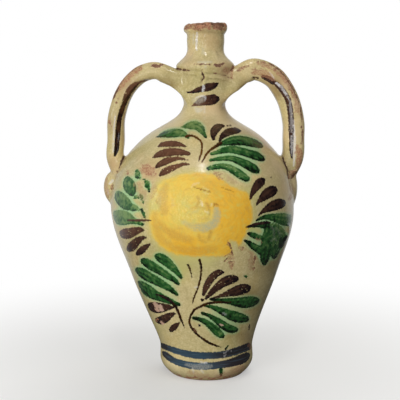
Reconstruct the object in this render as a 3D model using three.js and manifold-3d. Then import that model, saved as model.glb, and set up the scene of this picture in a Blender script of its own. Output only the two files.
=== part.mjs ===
import * as THREE from 'three';
import { mergeVertices } from 'three/addons/utils/BufferGeometryUtils.js';
import Module from 'manifold-3d';

// A two-handled water jug of glazed earthenware, in millimetres. It stands on z = 0 with its axis along Z and
// its handles along X. Its pieces are those that a potter throws, pulls and lutes together before the firing.

// Joints
const gap = 0.3; // clearance between a piece and the neighbour that shapes it
const slipThickness = 1.2; // luting slip between two pieces

// Foot: a shallow thrown saucer, floor and foot in one
const undersideRadius = 45.5;
const footRadius = 57;
const footBulgeHeight = 19;
const footHeight = 31;
const floorThickness = 11;
const floorRadius = 38;

// Lower half of the body, from the waist above the foot to the belly
const waistRadius = 56.4;
const waistUpright = 22; // how long the outline stays upright above the waist
const bellyRadius = 110;
const bellyUpright = 44; // how long it stays upright below the belly
const lowerWallHeight = 170;
const lowerWallThickness = 7.5;

// Upper half of the body, from the belly to the rim of the throat
const shoulderHeight = 124.6; // belly seam to the narrowest place of the throat
const shoulderFullness = 92; // how long the outline stays upright above the belly
const shoulderThickness = 7;
const throatRadius = 23.7;
const throatUpright = 33; // how long it stays upright below the throat
const throatLength = 38; // narrowest place to the rim
const throatRimRadius = 24.6;

// Neck, with the collar at its foot and the lip on top
const neckRadius = 21.5;
const neckBoreRadius = 16.5;
const neckLength = 42;
const collarRadius = 34.2;
const collarFootRadius = 30;
const collarRidgeHeight = 3.3;
const collarHeight = 17.5;
const collarHollow = 1; // dip of its upper slope below a straight line
const lipRadius = 25.6;
const lipHeight = 10.8;
const lipBoreRadius = 18;

// Handles: pulled straps, given as distances out from the axis and heights above or below the throat
const tongueThickness = 4.4; // of the wide root, where it wraps the throat
const tongueHeight = 38;
const tongueRise = 19.5;
const tongueSquareness = 0.4; // lower is squarer, 1 is round
const strapSquareness = 0.85;
const hollowStart = 14; // between these distances the web is hollowed from below
const hollowEnd = 44;
const strapDepth = 28;
const leftStrap = {
  side: -1,
  thickness: 21.5,
  crownOut: 57.6,
  crownRise: 36.9,
  elbowOut: 86.8,
  elbowRise: 24.2,
  bendOut: 99.4,
  bendRise: 4,
  reach: 106.8,
  reachDrop: 32,
  heelDrop: 66,
  padThickness: 11,
};
const rightStrap = {
  side: 1,
  thickness: 25.5,
  crownOut: 58.5,
  crownRise: 38,
  elbowOut: 87.6,
  elbowRise: 21.6,
  bendOut: 99.4,
  bendRise: 1,
  reach: 105.6,
  reachDrop: 33,
  heelDrop: 66,
  padThickness: 7,
};
const heelStand = 14; // strap's middle line off the shoulder, just above where it lands
const toeDepth = 12; // strap's middle line below the skin of the shoulder, where it ends
const toeDrop = 24; // heel to the end of the strap
const padDrop = 101; // throat to the middle of the pad below the heel
const padHeight = 38;
const padDepth = 28;

// Facets
const turns = 40;
const strapSides = 20;
const strapRings = 26;

// Levels, from the floor up
const lowerBottom = footHeight + slipThickness;
const lowerTop = lowerBottom + lowerWallHeight;
const shoulderBottom = lowerTop + slipThickness;
const throatLevel = shoulderBottom + shoulderHeight;
const throatTop = throatLevel + throatLength;
const neckBottom = throatTop + slipThickness;
const neckTop = neckBottom + neckLength;
const lipTop = neckTop + lipHeight;

const wasm = await Module();
wasm.setup();

function toSolid(geometry) {
  const bare = geometry.clone();
  bare.deleteAttribute('normal');
  bare.deleteAttribute('uv');
  const merged = mergeVertices(bare, 1e-4);
  const corners = merged.index.array;
  const triVerts = [];
  for (let i = 0; i < corners.length; i += 3) {
    const [a, b, c] = [corners[i], corners[i + 1], corners[i + 2]];
    if (a !== b && b !== c && c !== a) triVerts.push(a, b, c);
  }
  const vertProperties = new Float32Array(merged.attributes.position.array);
  return new wasm.Manifold(new wasm.Mesh({ numProp: 3, vertProperties, triVerts: new Uint32Array(triVerts) }));
}

function toGeometry(solid) {
  const { vertProperties, triVerts } = solid.getMesh();
  const geometry = new THREE.BufferGeometry();
  geometry.setAttribute('position', new THREE.BufferAttribute(new Float32Array(vertProperties), 3));
  geometry.setIndex(new THREE.BufferAttribute(new Uint32Array(triVerts), 1));
  geometry.computeVertexNormals();
  return geometry;
}

// A profile is a list of [radius, height], up the outside and down the inside, turned about Z.
function turned(profile) {
  const points = profile.map(([radius, height]) => new THREE.Vector2(radius, height));
  return new THREE.LatheGeometry(points, turns).rotateX(Math.PI / 2);
}

function closed(profile) {
  return [...profile, profile[0]];
}

function ring(innerRadius, outerRadius, bottom, top) {
  const profile = [[innerRadius, bottom], [outerRadius, bottom], [outerRadius, top], [innerRadius, top]];
  return turned(closed(profile));
}

function cubic(...points) {
  return new THREE.CubicBezierCurve(...points.map(([radius, height]) => new THREE.Vector2(radius, height)));
}

function quadratic(...points) {
  return new THREE.QuadraticBezierCurve(...points.map(([radius, height]) => new THREE.Vector2(radius, height)));
}

function along(curve, steps) {
  return curve.getPoints(steps).map((point) => [point.x, point.y]);
}

// The same line moved out along its normals (or in, where the distance is negative), with its ends kept level.
function offset(curve, steps, distance) {
  return along(curve, steps).map(([radius, height], i) => {
    const tangent = curve.getTangent(i / steps);
    const isEnd = i === 0 || i === steps;
    return [radius + tangent.y * distance, isEnd ? height : height - tangent.x * distance];
  });
}

const footSkin = quadratic([undersideRadius, 0], [footRadius, footBulgeHeight / 2], [footRadius, footBulgeHeight]);
const lowerSkin = cubic(
  [waistRadius, lowerBottom],
  [waistRadius, lowerBottom + waistUpright],
  [bellyRadius, lowerTop - bellyUpright],
  [bellyRadius, lowerTop],
);
const shoulderSkin = cubic(
  [bellyRadius, shoulderBottom],
  [bellyRadius, shoulderBottom + shoulderFullness],
  [throatRadius, throatLevel - throatUpright],
  [throatRadius, throatLevel],
);
const skinSteps = 12;
const waistBore = waistRadius - lowerWallThickness;
const bellyBore = bellyRadius - Math.max(lowerWallThickness, shoulderThickness);
const throatBore = throatRimRadius - shoulderThickness;

function footShape() {
  const inside = quadratic([waistBore, footHeight], [waistBore, floorThickness], [floorRadius, floorThickness]);
  return turned([
    [0, 0],
    ...along(footSkin, 5),
    [waistRadius, footHeight],
    ...along(inside, 4),
    [0, floorThickness],
  ]);
}

function lowerWallShape() {
  const inside = offset(lowerSkin, skinSteps, -lowerWallThickness).reverse();
  return turned(closed([...along(lowerSkin, skinSteps), ...inside]));
}

function shoulderShape() {
  const inside = offset(shoulderSkin, skinSteps, -shoulderThickness).reverse();
  return turned(closed([
    ...along(shoulderSkin, skinSteps),
    [throatRimRadius, throatTop],
    [throatBore, throatTop],
    ...inside,
  ]));
}

// The collar's bottom stands on the throat's slip; its hollow upper slope runs out against the neck.
function collarShape(bottom, grow) {
  const bore = neckRadius + gap;
  const ridge = [collarRadius + grow, bottom + collarRidgeHeight];
  const top = [bore + grow, bottom + collarHeight];
  const dip = [(ridge[0] + top[0]) / 2 - collarHollow, (ridge[1] + top[1]) / 2 - collarHollow];
  return turned(closed([
    [bore, bottom],
    [collarFootRadius + grow, bottom],
    ...along(quadratic(ridge, dip, top), 5),
    [bore, bottom + collarHeight + grow],
  ]));
}

// The roll is half an ellipse outside, and eases into the bore inside.
function lipShape() {
  const middle = (neckTop + lipTop) / 2;
  const quarterTurn = Math.PI / 2;
  const roll = new THREE.EllipseCurve(
    neckRadius, middle, lipRadius - neckRadius, lipHeight / 2, -quarterTurn, quarterTurn,
  );
  const mouth = quadratic([neckRadius, lipTop], [lipBoreRadius, lipTop], [lipBoreRadius, middle]);
  return turned(closed([...along(roll, 8), ...along(mouth, 3).slice(1), [neckBoreRadius, neckTop]]));
}

// Shoulder and throat filled in and grown, to bed the handles on.
function bed(grow) {
  return toSolid(turned([
    [0, lowerTop - padHeight],
    [bellyRadius + grow, lowerTop - padHeight],
    ...offset(shoulderSkin, skinSteps, grow),
    [throatRimRadius + grow, throatTop],
    [throatRimRadius + grow, lipTop],
    [0, lipTop],
  ]));
}

function shoulderRadiusAt(height) {
  let [low, high] = [0, 1];
  for (let i = 0; i < 30; i += 1) {
    const middle = (low + high) / 2;
    if (shoulderSkin.getPoint(middle).y < height) low = middle;
    else high = middle;
  }
  return shoulderSkin.getPoint(low).x;
}

function strapRoute(strap) {
  const heel = throatLevel - strap.heelDrop;
  const toe = heel - toeDrop;
  const root = throatLevel + tongueRise;
  const route = [
    [gap / 2, root],
    [throatRimRadius, root],
    [strap.crownOut, throatLevel + strap.crownRise],
    [strap.elbowOut, throatLevel + strap.elbowRise],
    [strap.bendOut, throatLevel + strap.bendRise],
    [strap.reach, throatLevel - strap.reachDrop],
    [shoulderRadiusAt(heel) + heelStand, heel],
    [shoulderRadiusAt(toe) - toeDepth, toe],
  ];
  const points = route.map(([out, height]) => new THREE.Vector3(strap.side * out, 0, height));
  return new THREE.CatmullRomCurve3(points, false, 'centripetal');
}

// Rounded sections along the route: the tall, deep, squarish tongue at the throat narrows to the strap, and does
// so sooner on the underside.
function strapShape(strap, grow) {
  const route = strapRoute(strap);
  const across = new THREE.Vector3(0, 1, 0);
  const corners = [];
  for (let i = 0; i <= strapRings; i += 1) {
    const t = i / strapRings;
    const middle = route.getPointAt(t);
    const ahead = i === 0 ? new THREE.Vector3(strap.side, 0, 0) : route.getTangentAt(t);
    const normal = new THREE.Vector3().crossVectors(across, ahead);
    const out = Math.abs(middle.x);
    const asStrap = THREE.MathUtils.smoothstep(out, throatRimRadius / 2, strap.crownOut);
    const hollowed = THREE.MathUtils.smoothstep(out, hollowStart, hollowEnd);
    const halfAbove = THREE.MathUtils.lerp(tongueHeight, strap.thickness, asStrap) / 2 + grow;
    const halfBelow = THREE.MathUtils.lerp(tongueHeight, strap.thickness, hollowed) / 2 + grow;
    const rootDepth = throatRimRadius + tongueThickness;
    const halfDepth = THREE.MathUtils.lerp(rootDepth, strapDepth / 2, asStrap) + grow;
    const squareness = THREE.MathUtils.lerp(tongueSquareness, strapSquareness, asStrap);
    for (let j = 0; j < strapSides; j += 1) {
      const angle = (2 * Math.PI * j) / strapSides;
      const up = Math.sign(Math.cos(angle)) * Math.abs(Math.cos(angle)) ** squareness;
      const side = Math.sign(Math.sin(angle)) * Math.abs(Math.sin(angle)) ** squareness;
      const corner = middle.clone();
      corner.addScaledVector(normal, up * (normal.z * up < 0 ? halfBelow : halfAbove));
      corner.addScaledVector(across, halfDepth * side);
      corners.push(corner);
    }
  }
  return skinned(corners, strapRings);
}

// Rings of corners joined into a tube with flat ends.
function skinned(corners, rings) {
  const faces = [];
  for (let i = 0; i < rings; i += 1) {
    for (let j = 0; j < strapSides; j += 1) {
      const next = (j + 1) % strapSides;
      const [a, b] = [i * strapSides + j, i * strapSides + next];
      const [c, d] = [a + strapSides, b + strapSides];
      faces.push(a, b, c, b, d, c);
    }
  }
  const last = rings * strapSides;
  for (let j = 1; j < strapSides - 1; j += 1) {
    faces.push(0, j + 1, j, last, last + j, last + j + 1);
  }
  const geometry = new THREE.BufferGeometry().setFromPoints(corners);
  geometry.setIndex(faces);
  return geometry;
}

function padShape(strap) {
  const level = throatLevel - padDrop;
  const lump = new THREE.SphereGeometry(1, 20, 12);
  lump.scale(strap.padThickness, padDepth / 2, padHeight / 2);
  return lump.translate(strap.side * shoulderRadiusAt(level), 0, level);
}

// All that lies above or below a level, wide enough for the whole jug.
function halfSpace(level, direction) {
  const size = 4 * lipTop;
  return toSolid(new THREE.BoxGeometry(size, size, size).translate(0, 0, level + (direction * size) / 2));
}

const clay = { color: 0xc9b984, roughness: 0.25, metalness: 0 };
const slip = { color: 0xb06a45, roughness: 0.9, metalness: 0 };
const wornLip = { color: 0xab8a6b, roughness: 0.6, metalness: 0 };

const jug = new THREE.Group();

function addPiece(name, geometry, finish) {
  const piece = new THREE.Mesh(geometry, new THREE.MeshStandardMaterial(finish));
  piece.name = name;
  jug.add(piece);
}

addPiece('foot', footShape(), clay);
addPiece('foot_slip', ring(waistBore, waistRadius, footHeight, lowerBottom), slip);
addPiece('lower_wall', lowerWallShape(), clay);
addPiece('belly_slip', ring(bellyBore, bellyRadius, lowerTop, shoulderBottom), slip);
addPiece('shoulder_wall', shoulderShape(), clay);
addPiece('throat_slip', ring(throatBore, throatRimRadius, throatTop, neckBottom), slip);
addPiece('neck_tube', ring(neckBoreRadius, neckRadius, neckBottom, neckTop), clay);
addPiece('collar_coil', collarShape(neckBottom, 0), clay);
addPiece('lip_coil', lipShape(), wornLip);

const slipBed = bed(gap);
const strapBed = bed(gap + slipThickness + gap);
const slipTop = bed(gap + slipThickness);
const collarRoom = toSolid(collarShape(neckBottom - gap, gap));
const rootSide = halfSpace(throatLevel - throatUpright, 1);
const heelSide = halfSpace(throatLevel - throatUpright, -1);

for (const [hand, strap] of [['left', leftStrap], ['right', rightStrap]]) {
  const blank = toSolid(strapShape(strap, 0));
  const luting = blank.intersect(slipTop).subtract(slipBed).subtract(collarRoom);
  const pad = toSolid(padShape(strap)).subtract(slipBed).subtract(toSolid(strapShape(strap, gap)));
  addPiece(`${hand}_handle`, toGeometry(blank.subtract(strapBed).subtract(collarRoom)), clay);
  addPiece(`${hand}_root_slip`, toGeometry(luting.intersect(rootSide)), slip);
  addPiece(`${hand}_heel_slip`, toGeometry(luting.intersect(heelSide)), slip);
  addPiece(`${hand}_heel_pad`, toGeometry(pad), clay);
}

export default jug;
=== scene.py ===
import math

import bpy
import numpy as np
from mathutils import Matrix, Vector
from mathutils.bvhtree import BVHTree


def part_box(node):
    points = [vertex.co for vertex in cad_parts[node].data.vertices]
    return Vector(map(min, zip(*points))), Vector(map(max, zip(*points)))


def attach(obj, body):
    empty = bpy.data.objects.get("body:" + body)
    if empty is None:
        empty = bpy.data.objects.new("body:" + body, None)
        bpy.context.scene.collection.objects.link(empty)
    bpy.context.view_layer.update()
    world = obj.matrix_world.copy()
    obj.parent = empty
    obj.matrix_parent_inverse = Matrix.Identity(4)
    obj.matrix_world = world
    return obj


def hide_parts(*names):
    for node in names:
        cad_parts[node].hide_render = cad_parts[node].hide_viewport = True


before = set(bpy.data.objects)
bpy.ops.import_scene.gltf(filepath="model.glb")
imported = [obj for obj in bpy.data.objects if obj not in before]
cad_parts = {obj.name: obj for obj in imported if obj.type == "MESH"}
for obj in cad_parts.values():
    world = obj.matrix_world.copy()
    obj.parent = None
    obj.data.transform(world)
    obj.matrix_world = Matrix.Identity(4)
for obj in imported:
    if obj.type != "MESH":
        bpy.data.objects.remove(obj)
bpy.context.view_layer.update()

mm = 0.001
scene = bpy.context.scene
scene.view_settings.view_transform = "Standard"
print("frame:", len(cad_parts), "solids of clay and slip")

# Camera: just above the shoulder, looking a little down, the jug's axis right of the middle
camera = {"away": 1070, "height": 340, "aside": -6.3, "dip": 6.917, "angle": 25.30, "pixels": 400}

cameraData = bpy.data.cameras.new("camera")
cameraData.angle = math.radians(camera["angle"])
cameraObject = bpy.data.objects.new("camera", cameraData)
cameraObject.location = Vector((camera["aside"], -camera["away"], camera["height"])) * mm
cameraObject.rotation_euler = (math.radians(90 - camera["dip"]), 0, 0)
scene.collection.objects.link(cameraObject)
scene.camera = cameraObject
bpy.context.view_layer.update()
eye = cameraObject.matrix_world.translation.copy()
eyeTurn = cameraObject.matrix_world.to_3x3()
halfFrame = camera["pixels"] / 2
focal = halfFrame / math.tan(math.radians(camera["angle"]) / 2)


def sightLine(u, v):
    return (eyeTurn @ Vector(((u - halfFrame) / focal, (halfFrame - v) / focal, -1))).normalized()


def picturePlace(points):
    # where points on the jug fall in the picture
    seen = (points * mm - np.array(eye)) @ np.array(eyeTurn)
    return halfFrame - focal * seen[:, 0] / seen[:, 2], halfFrame + focal * seen[:, 1] / seen[:, 2]


# Lines and curves
def smoothStep(value, low, high):
    t = np.clip((value - low) / (high - low), 0, 1)
    return t * t * (3 - 2 * t)


def bezier(points, steps):
    t = np.linspace(0, 1, steps)[:, None]
    rows = [np.asarray(point, float) + 0 * t for point in points]
    while len(rows) > 1:
        rows = [a + (b - a) * t for a, b in zip(rows, rows[1:])]
    return rows[0]


def smoothLine(points, steps):
    # one curve through all the points, steps to each stretch
    p = np.array(points, float)
    p = np.vstack([2 * p[0] - p[1], p, 2 * p[-1] - p[-2]])
    gaps = np.sqrt(np.linalg.norm(np.diff(p, axis=0), axis=1))
    t = np.linspace(0, 1, steps, endpoint=False)[:, None]
    rows = []
    for i in range(1, len(p) - 2):
        before, here, after = gaps[i - 1:i + 2]
        a, b = p[i], p[i + 1]
        leave = (a - p[i - 1]) / before - (b - p[i - 1]) / (before + here) + (b - a) / here
        arrive = (b - a) / here - (p[i + 2] - a) / (here + after) + (p[i + 2] - b) / after
        bend = t * (1 - t) ** 2 * leave - t * t * (1 - t) * arrive
        rows.append(a + (b - a) * t * t * (3 - 2 * t) + here * bend)
    return np.vstack(rows + [p[-2:-1]])


def evenly(line, gap):
    run = np.concatenate([[0], np.cumsum(np.linalg.norm(np.diff(line, axis=0), axis=1))])
    marks = np.linspace(0, run[-1], max(2, int(run[-1] / gap) + 1))
    return np.column_stack([np.interp(marks, run, column) for column in line.T])


def boxOf(node):
    low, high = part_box(node)
    return np.array(low) / mm, np.array(high) / mm


# What throwing by hand leaves: the axis leans and the outline swells by height (mm), the round is not quite
# round, and throwing rings run close up the wall
hand = {
    "lean": [(0, 1.9), (32, 1.5), (70, -0.8), (130, -1.9), (190, -3), (205, -3.5), (290, -2), (328, -0.9),
             (390, 0.2), (425, 0.2)],
    "swell": [(0, 0), (110, 0.5), (135, -0.2), (175, 0.8), (203, 0.2), (245, 0.5), (273, -0.6), (293, 1.6),
              (310, -0.5), (322, 0.4), (345, 0), (425, 0)],
    "oval": 0.4,
    "ovalTwist": 90,  # the oval turns by one radian over this height
    "threeSided": 0.22,
    "threeSidedTwist": 55,
    "ringPitch": 7.2,
    "ringDepth": 0.035,
    "ringWander": 17,
    "steadyWithin": 20,  # nearer the axis than this, the round grows true
}
leanLine, swellLine = smoothLine(hand["lean"], 8), smoothLine(hand["swell"], 8)


def leanAt(height):
    return np.interp(height, leanLine[:, 0], leanLine[:, 1])


def unevenAt(angle, height):
    slow = hand["oval"] * np.sin(2 * angle + 0.8 + height / hand["ovalTwist"])
    slow = slow + hand["threeSided"] * np.sin(3 * angle - 1.1 - height / hand["threeSidedTwist"])
    ring = 2 * math.pi * height / hand["ringPitch"] + angle + np.sin(height / hand["ringWander"])
    swell = np.interp(height, swellLine[:, 0], swellLine[:, 1])
    return slow + swell + hand["ringDepth"] * np.sin(ring)


# Body: the turned skin from the underside to the rim of the throat, and the inside down to the floor
body = {
    "undersideRadius": 45.5,
    "footBulge": 19,
    "waistRadius": 56.4,
    "waistUpright": 22,
    "bellyUpright": 44,
    "shoulderFullness": 92,
    "throatRadius": 23.7,
    "throatUpright": 33,
    "throatLength": 38,
    "throatRim": 24.6,
    "wall": 7.2,
    "floor": 11,
    "floorRadius": 38,
    "undersideRounding": 1.5,
    "middleRadius": (5, 6),  # of the round faces that close the underside and the floor
    "columns": 320,
    "rowGap": 1.5,
    "coarser": 4,  # the underside and the inside have so many times fewer columns
    "coarseRowGap": (3, 6),
    "frontCrowding": 0.55,  # columns crowd to the painted front
}
footBox, lowerBox, shoulderBox = boxOf("foot"), boxOf("lower_wall"), boxOf("shoulder_wall")
footRadius, bellyRadius = footBox[1][0], lowerBox[1][0]
throatLevel = shoulderBox[1][2] - body["throatLength"]
footSkin = bezier([(body["undersideRadius"], 0), (footRadius, body["footBulge"] / 2),
                   (footRadius, body["footBulge"])], 24)
lowerSkin = bezier([(body["waistRadius"], lowerBox[0][2]),
                    (body["waistRadius"], lowerBox[0][2] + body["waistUpright"]),
                    (bellyRadius, lowerBox[1][2] - body["bellyUpright"]),
                    (bellyRadius, lowerBox[1][2])], 120)
shoulderSkin = bezier([(bellyRadius, shoulderBox[0][2]),
                       (bellyRadius, shoulderBox[0][2] + body["shoulderFullness"]),
                       (body["throatRadius"], throatLevel - body["throatUpright"]),
                       (body["throatRadius"], throatLevel)], 120)
throatRim = [(body["throatRim"], shoulderBox[1][2])]
bodyOutline = np.vstack([footSkin, lowerSkin, shoulderSkin, throatRim])


def turnedGrid(outline, angles):
    radius, height = outline[:, :1], outline[:, 1:]
    out = radius + unevenAt(angles, height) * np.clip(radius / hand["steadyWithin"], 0, 1)
    lean = leanAt(height)
    return np.dstack([lean + out * np.sin(angles), -out * np.cos(angles), height + 0 * angles])


def ringQuads(first, rows, columns):
    i, j = np.meshgrid(np.arange(rows - 1), np.arange(columns), indexing="ij")
    here = first + i * columns + j
    beside = first + i * columns + (j + 1) % columns
    return np.stack([here, beside, beside + columns, here + columns], -1).reshape(-1, 4).tolist()


def makePiece(name, vertices, faces):
    mesh = bpy.data.meshes.new(name)
    mesh.from_pydata((vertices * mm).tolist(), [], faces)
    mesh.shade_smooth()
    piece = bpy.data.objects.new(name, mesh)
    scene.collection.objects.link(piece)
    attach(piece, "root")
    return piece


def makeBody():
    turn = np.linspace(0, 2 * math.pi, body["columns"], endpoint=False)
    fineAngles = turn - body["frontCrowding"] * np.sin(turn)
    coarser = body["coarser"]
    coarseAngles = fineAngles[::coarser]
    few = len(coarseAngles)
    underMiddle, floorMiddle = body["middleRadius"]
    underGap, innerGap = body["coarseRowGap"]
    under = evenly(np.array([(underMiddle, 0), (body["undersideRadius"] - body["undersideRounding"], 0)]), underGap)
    outer = evenly(bodyOutline, body["rowGap"])
    inner = np.vstack([throatRim, shoulderSkin[::-1], lowerSkin[::-1]]) - (body["wall"], 0)
    floorBend = bezier([inner[-1], (inner[-1][0], body["floor"]), (body["floorRadius"], body["floor"])], 8)
    inner = evenly(np.vstack([inner, floorBend, [(floorMiddle, body["floor"])]]), innerGap)
    grids = [turnedGrid(under, coarseAngles), turnedGrid(outer, fineAngles), turnedGrid(inner, coarseAngles)]
    firstOuter = len(under) * few
    firstInner = firstOuter + len(outer) * len(fineAngles)
    faces = [list(range(few))[::-1]]
    faces += ringQuads(0, len(under), few)
    faces += ringQuads(firstOuter, len(outer), len(fineAngles))
    faces += ringQuads(firstInner, len(inner), few)
    lastUnder = firstOuter - few
    lastOuter = firstInner - len(fineAngles)
    for j in range(few):
        wide = [(coarser * j + k) % len(fineAngles) for k in range(coarser + 1)]
        after = (j + 1) % few
        faces.append([lastUnder + j, lastUnder + after] + [firstOuter + k for k in wide[::-1]])
        faces.append([lastOuter + k for k in wide] + [firstInner + after, firstInner + j])
    lastInner = firstInner + (len(inner) - 1) * few
    faces.append([lastInner + j for j in range(few)])
    return makePiece("thrown_body", np.vstack([grid.reshape(-1, 3) for grid in grids]), faces)


bodyPiece = makeBody()
print("body skin:", len(bodyPiece.data.vertices), "points")

# Neck: collar, neck and rolled lip in one turned skin, the lip uneven and rubbed
neck = {
    "outline": [(20.5, 351), (23.6, 352.6), (26.2, 356.6), (29.6, 361.6), (32.6, 366.2), (34.1, 369.2), (33.7, 372.2),
                (29.6, 376.6), (25.8, 380.2), (23.1, 383.6), (21.7, 387.2), (21.3, 391), (21.6, 396), (21.9, 400),
                (21.7, 404.6), (21.9, 407.4), (22.9, 408.9), (24.3, 411), (24.7, 413.8), (24.3, 416.6),
                (22.9, 418.9), (21, 419.9), (19.2, 418.8), (17.9, 415.8), (17, 411), (16.5, 404), (16.5, 385),
                (16.6, 356), (17.5, 351.6)],
    "columns": 256,
    "rowGap": 1.2,
    "lipHeights": (408, 414),  # the lip grows uneven between these
    "lipFace": (19, 24),  # from its bore to its outer face
    "lipTilt": 0.8,
    "lipDents": 0.55,
    # waves round the lip: share, count, turn
    "upWaves": [(1, 5, 1.3), (0.8, 9, 0.4), (0.6, 17, 2.2)],
    "outWaves": [(1, 4, 2), (0.7, 11, 0)],
}


def makeNeck():
    outline = evenly(smoothLine(neck["outline"] + neck["outline"][:1], 8), neck["rowGap"])[:-1]
    angles = np.linspace(0, 2 * math.pi, neck["columns"], endpoint=False)
    grid = turnedGrid(outline, angles)
    onLip = smoothStep(outline[:, 1:], *neck["lipHeights"])
    up, out = [sum(share * np.sin(count * angles + turn) for share, count, turn in neck[waves])
               for waves in ("upWaves", "outWaves")]
    grid[:, :, 2] += onLip * (neck["lipTilt"] * np.sin(angles) + 0.5 * neck["lipDents"] * up)
    outward = smoothStep(outline[:, :1], *neck["lipFace"])
    swell = neck["lipDents"] * out
    grid[:, :, 0] += onLip * outward * swell * np.sin(angles)
    grid[:, :, 1] -= onLip * outward * swell * np.cos(angles)
    rows, columns = grid.shape[:2]
    faces = ringQuads(0, rows, columns)
    last = (rows - 1) * columns
    faces += [[last + j, last + (j + 1) % columns, (j + 1) % columns, j] for j in range(columns)]
    return makePiece("collared_neck", grid.reshape(-1, 3), faces)


neckPiece = makeNeck()
print("neck skin:", len(neckPiece.data.vertices), "points")

# Straps: pulled clay, each a wide tongue at the throat, a thick arch, a heel and a pad pressed on below it.
# They are smeared into the skins they sit on, so each is the surface of one field of distances (mm).
straps = {
    "depth": 28,
    "corner": 9,
    "tongueThickness": 6,
    "tongueHeight": 38,
    "tongueRise": 19.5,
    "tongueCorner": 7,
    "tongueWrap": 30,  # how far to the sides the tongue keeps round the throat
    "tongueFeather": (326, 364),  # pressed thin downwards between these heights
    "toeDepth": 9.5,
    "toeDrop": 24,
    "padDrop": 102,
    "padHeight": 38,
    "padDepth": 28,
    "cell": 1.1,
    "bedding": 3,  # how deep a strap is sunk in the skin under it
    "skim": 0.05,  # how far the smeared clay stays under the bare walls
    "smearHeel": 8,
    "smearTongueSide": 8,
    "smearTongueFront": 20,
    "smearPad": 5,
    "smearCollarFront": 20,
    "smearCollarSide": 3,
    "smearUnder": 5,
    "smearRise": (292, 325),  # from the heel's smear to the tongue's between these heights
    "frontFacing": (0.3, 0.85),  # from the side's smear to the front's
    "webSlope": 0.75,
    "dive": 0.5,
    "diveFrom": 0.85,  # of the smear
    "diveReach": 3,
    "seam": -2.7,
    "lap": 5,
    "lapDrop": 0.4,
    "smoothing": 2,
    # the box that is searched for clay: half its depth, then past the heel pad, the throat, the strap and the axis
    "boxDepth": 46,
    "boxBelow": 34,
    "boxAbove": 62,
    "boxOut": 6,
    "boxPastAxis": (-10, 6),
}
# route: out from the axis, above the throat; under: the edge that the web is hollowed to, measured the same way
leftStrap = {
    "name": "left_strap",
    "side": -1,
    "thickness": 20.2,
    "padThickness": 11,
    "heelStand": 12,
    "heelDrop": 66,
    "route": [(57.6, 36.9), (75.2, 33.2), (85.2, 25.5), (92, 17.7), (97.1, 9.3), (100.6, 1.1), (106.2, -20),
              (106.8, -45)],
    "under": [(0, -16), (20, -5), (25, 3), (29.2, 8.2), (34.5, 13), (41, 17.6), (50.6, 21.8), (57, 23), (64, 18),
              (72, -10), (80, -90)],
}
rightStrap = {
    "name": "right_strap",
    "side": 1,
    "thickness": 25.5,
    "padThickness": 6.4,
    "heelStand": 14,
    "heelDrop": 66,
    "route": [(54.6, 38.2), (64, 37.6), (73, 34.2), (81.8, 28.4), (88, 21.2), (99.2, 1), (105.3, -24), (105.6, -42)],
    "under": [(0, -16), (20, -5), (25.5, 3), (32, 8.6), (39, 13), (44.2, 17.4), (49.6, 21.8), (54.6, 23), (61, 17),
              (69, -14), (78, -90)],
}


def bodyRadiusAt(height):
    return np.interp(height, bodyOutline[:, 1], bodyOutline[:, 0])


def strapRoute(strap):
    heel = throatLevel - strap["heelDrop"]
    toe = heel - straps["toeDrop"]
    root = throatLevel + straps["tongueRise"]
    points = [(0, root), (body["throatRim"], root)]
    points += [(out, throatLevel + rise) for out, rise in strap["route"]]
    points.append((bodyRadiusAt(heel) + strap["heelStand"] + strap["side"] * leanAt(heel), heel))
    points.append((bodyRadiusAt(toe) - straps["toeDepth"] + strap["side"] * leanAt(toe), toe))
    return evenly(smoothLine(points, 40), 1) * (strap["side"], 1)


# the grid of radius and height for distances to throat and collar, whose outlines go on up and down the core
skinGrid = {"out": 150, "low": 180, "high": 420, "step": 0.5, "core": 18, "under": 150, "over": 430}


def distanceTable(outline):
    # signed distance to a turned outline
    step = skinGrid["step"]
    radius, height = np.meshgrid(np.arange(0, skinGrid["out"], step),
                                 np.arange(skinGrid["low"], skinGrid["high"], step), indexing="ij")
    nearest = np.full(radius.shape, 1e9)
    for (ra, ha), (rb, hb) in zip(outline, outline[1:]):
        run, rise = rb - ra, hb - ha
        t = np.clip(((radius - ra) * run + (height - ha) * rise) / (run * run + rise * rise), 0, 1)
        nearest = np.minimum(nearest, np.hypot(radius - ra - t * run, height - ha - t * rise))
    inside = radius < np.interp(height, outline[:, 1], outline[:, 0])
    return np.where(inside, -nearest, nearest)


def lookUp(table, radius, height):
    i = np.clip(radius / skinGrid["step"], 0, table.shape[0] - 1.001)
    j = np.clip((height - skinGrid["low"]) / skinGrid["step"], 0, table.shape[1] - 1.001)
    i0, j0 = i.astype(int), j.astype(int)
    fi, fj = i - i0, j - j0
    near = table[i0, j0] * (1 - fj) + table[i0, j0 + 1] * fj
    far = table[i0 + 1, j0] * (1 - fj) + table[i0 + 1, j0 + 1] * fj
    return near * (1 - fi) + far * fi


def smearMin(a, b, k):
    return np.minimum(a, b) - np.clip(1 - np.abs(a - b) / k, 0, 1) ** 3 * k / 6


core, under, over = skinGrid["core"], skinGrid["under"], skinGrid["over"]
throatTop = shoulderBox[1][2]
tallThroat = np.vstack([evenly(bodyOutline[bodyOutline[:, 1] > under], 2), [(core, throatTop + 6), (core, over)]])
collarLine = np.vstack([[(core, under), (core, 350)], smoothLine(neck["outline"][1:14], 4), [(21.5, over)]])
throatTable, collarTable = distanceTable(tallThroat), distanceTable(collarLine)


def nearestOnRoute(route, x, z):
    ahead = np.gradient(route, axis=0)
    ahead /= np.linalg.norm(ahead, axis=1)[:, None]
    nearest = np.zeros(x.shape, int)
    best = np.full(x.shape, 1e9)
    for i, (px, pz) in enumerate(route):
        away = (x - px) ** 2 + (z - pz) ** 2
        nearest = np.where(away < best, i, nearest)
        best = np.minimum(best, away)
    return nearest, ahead


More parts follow.
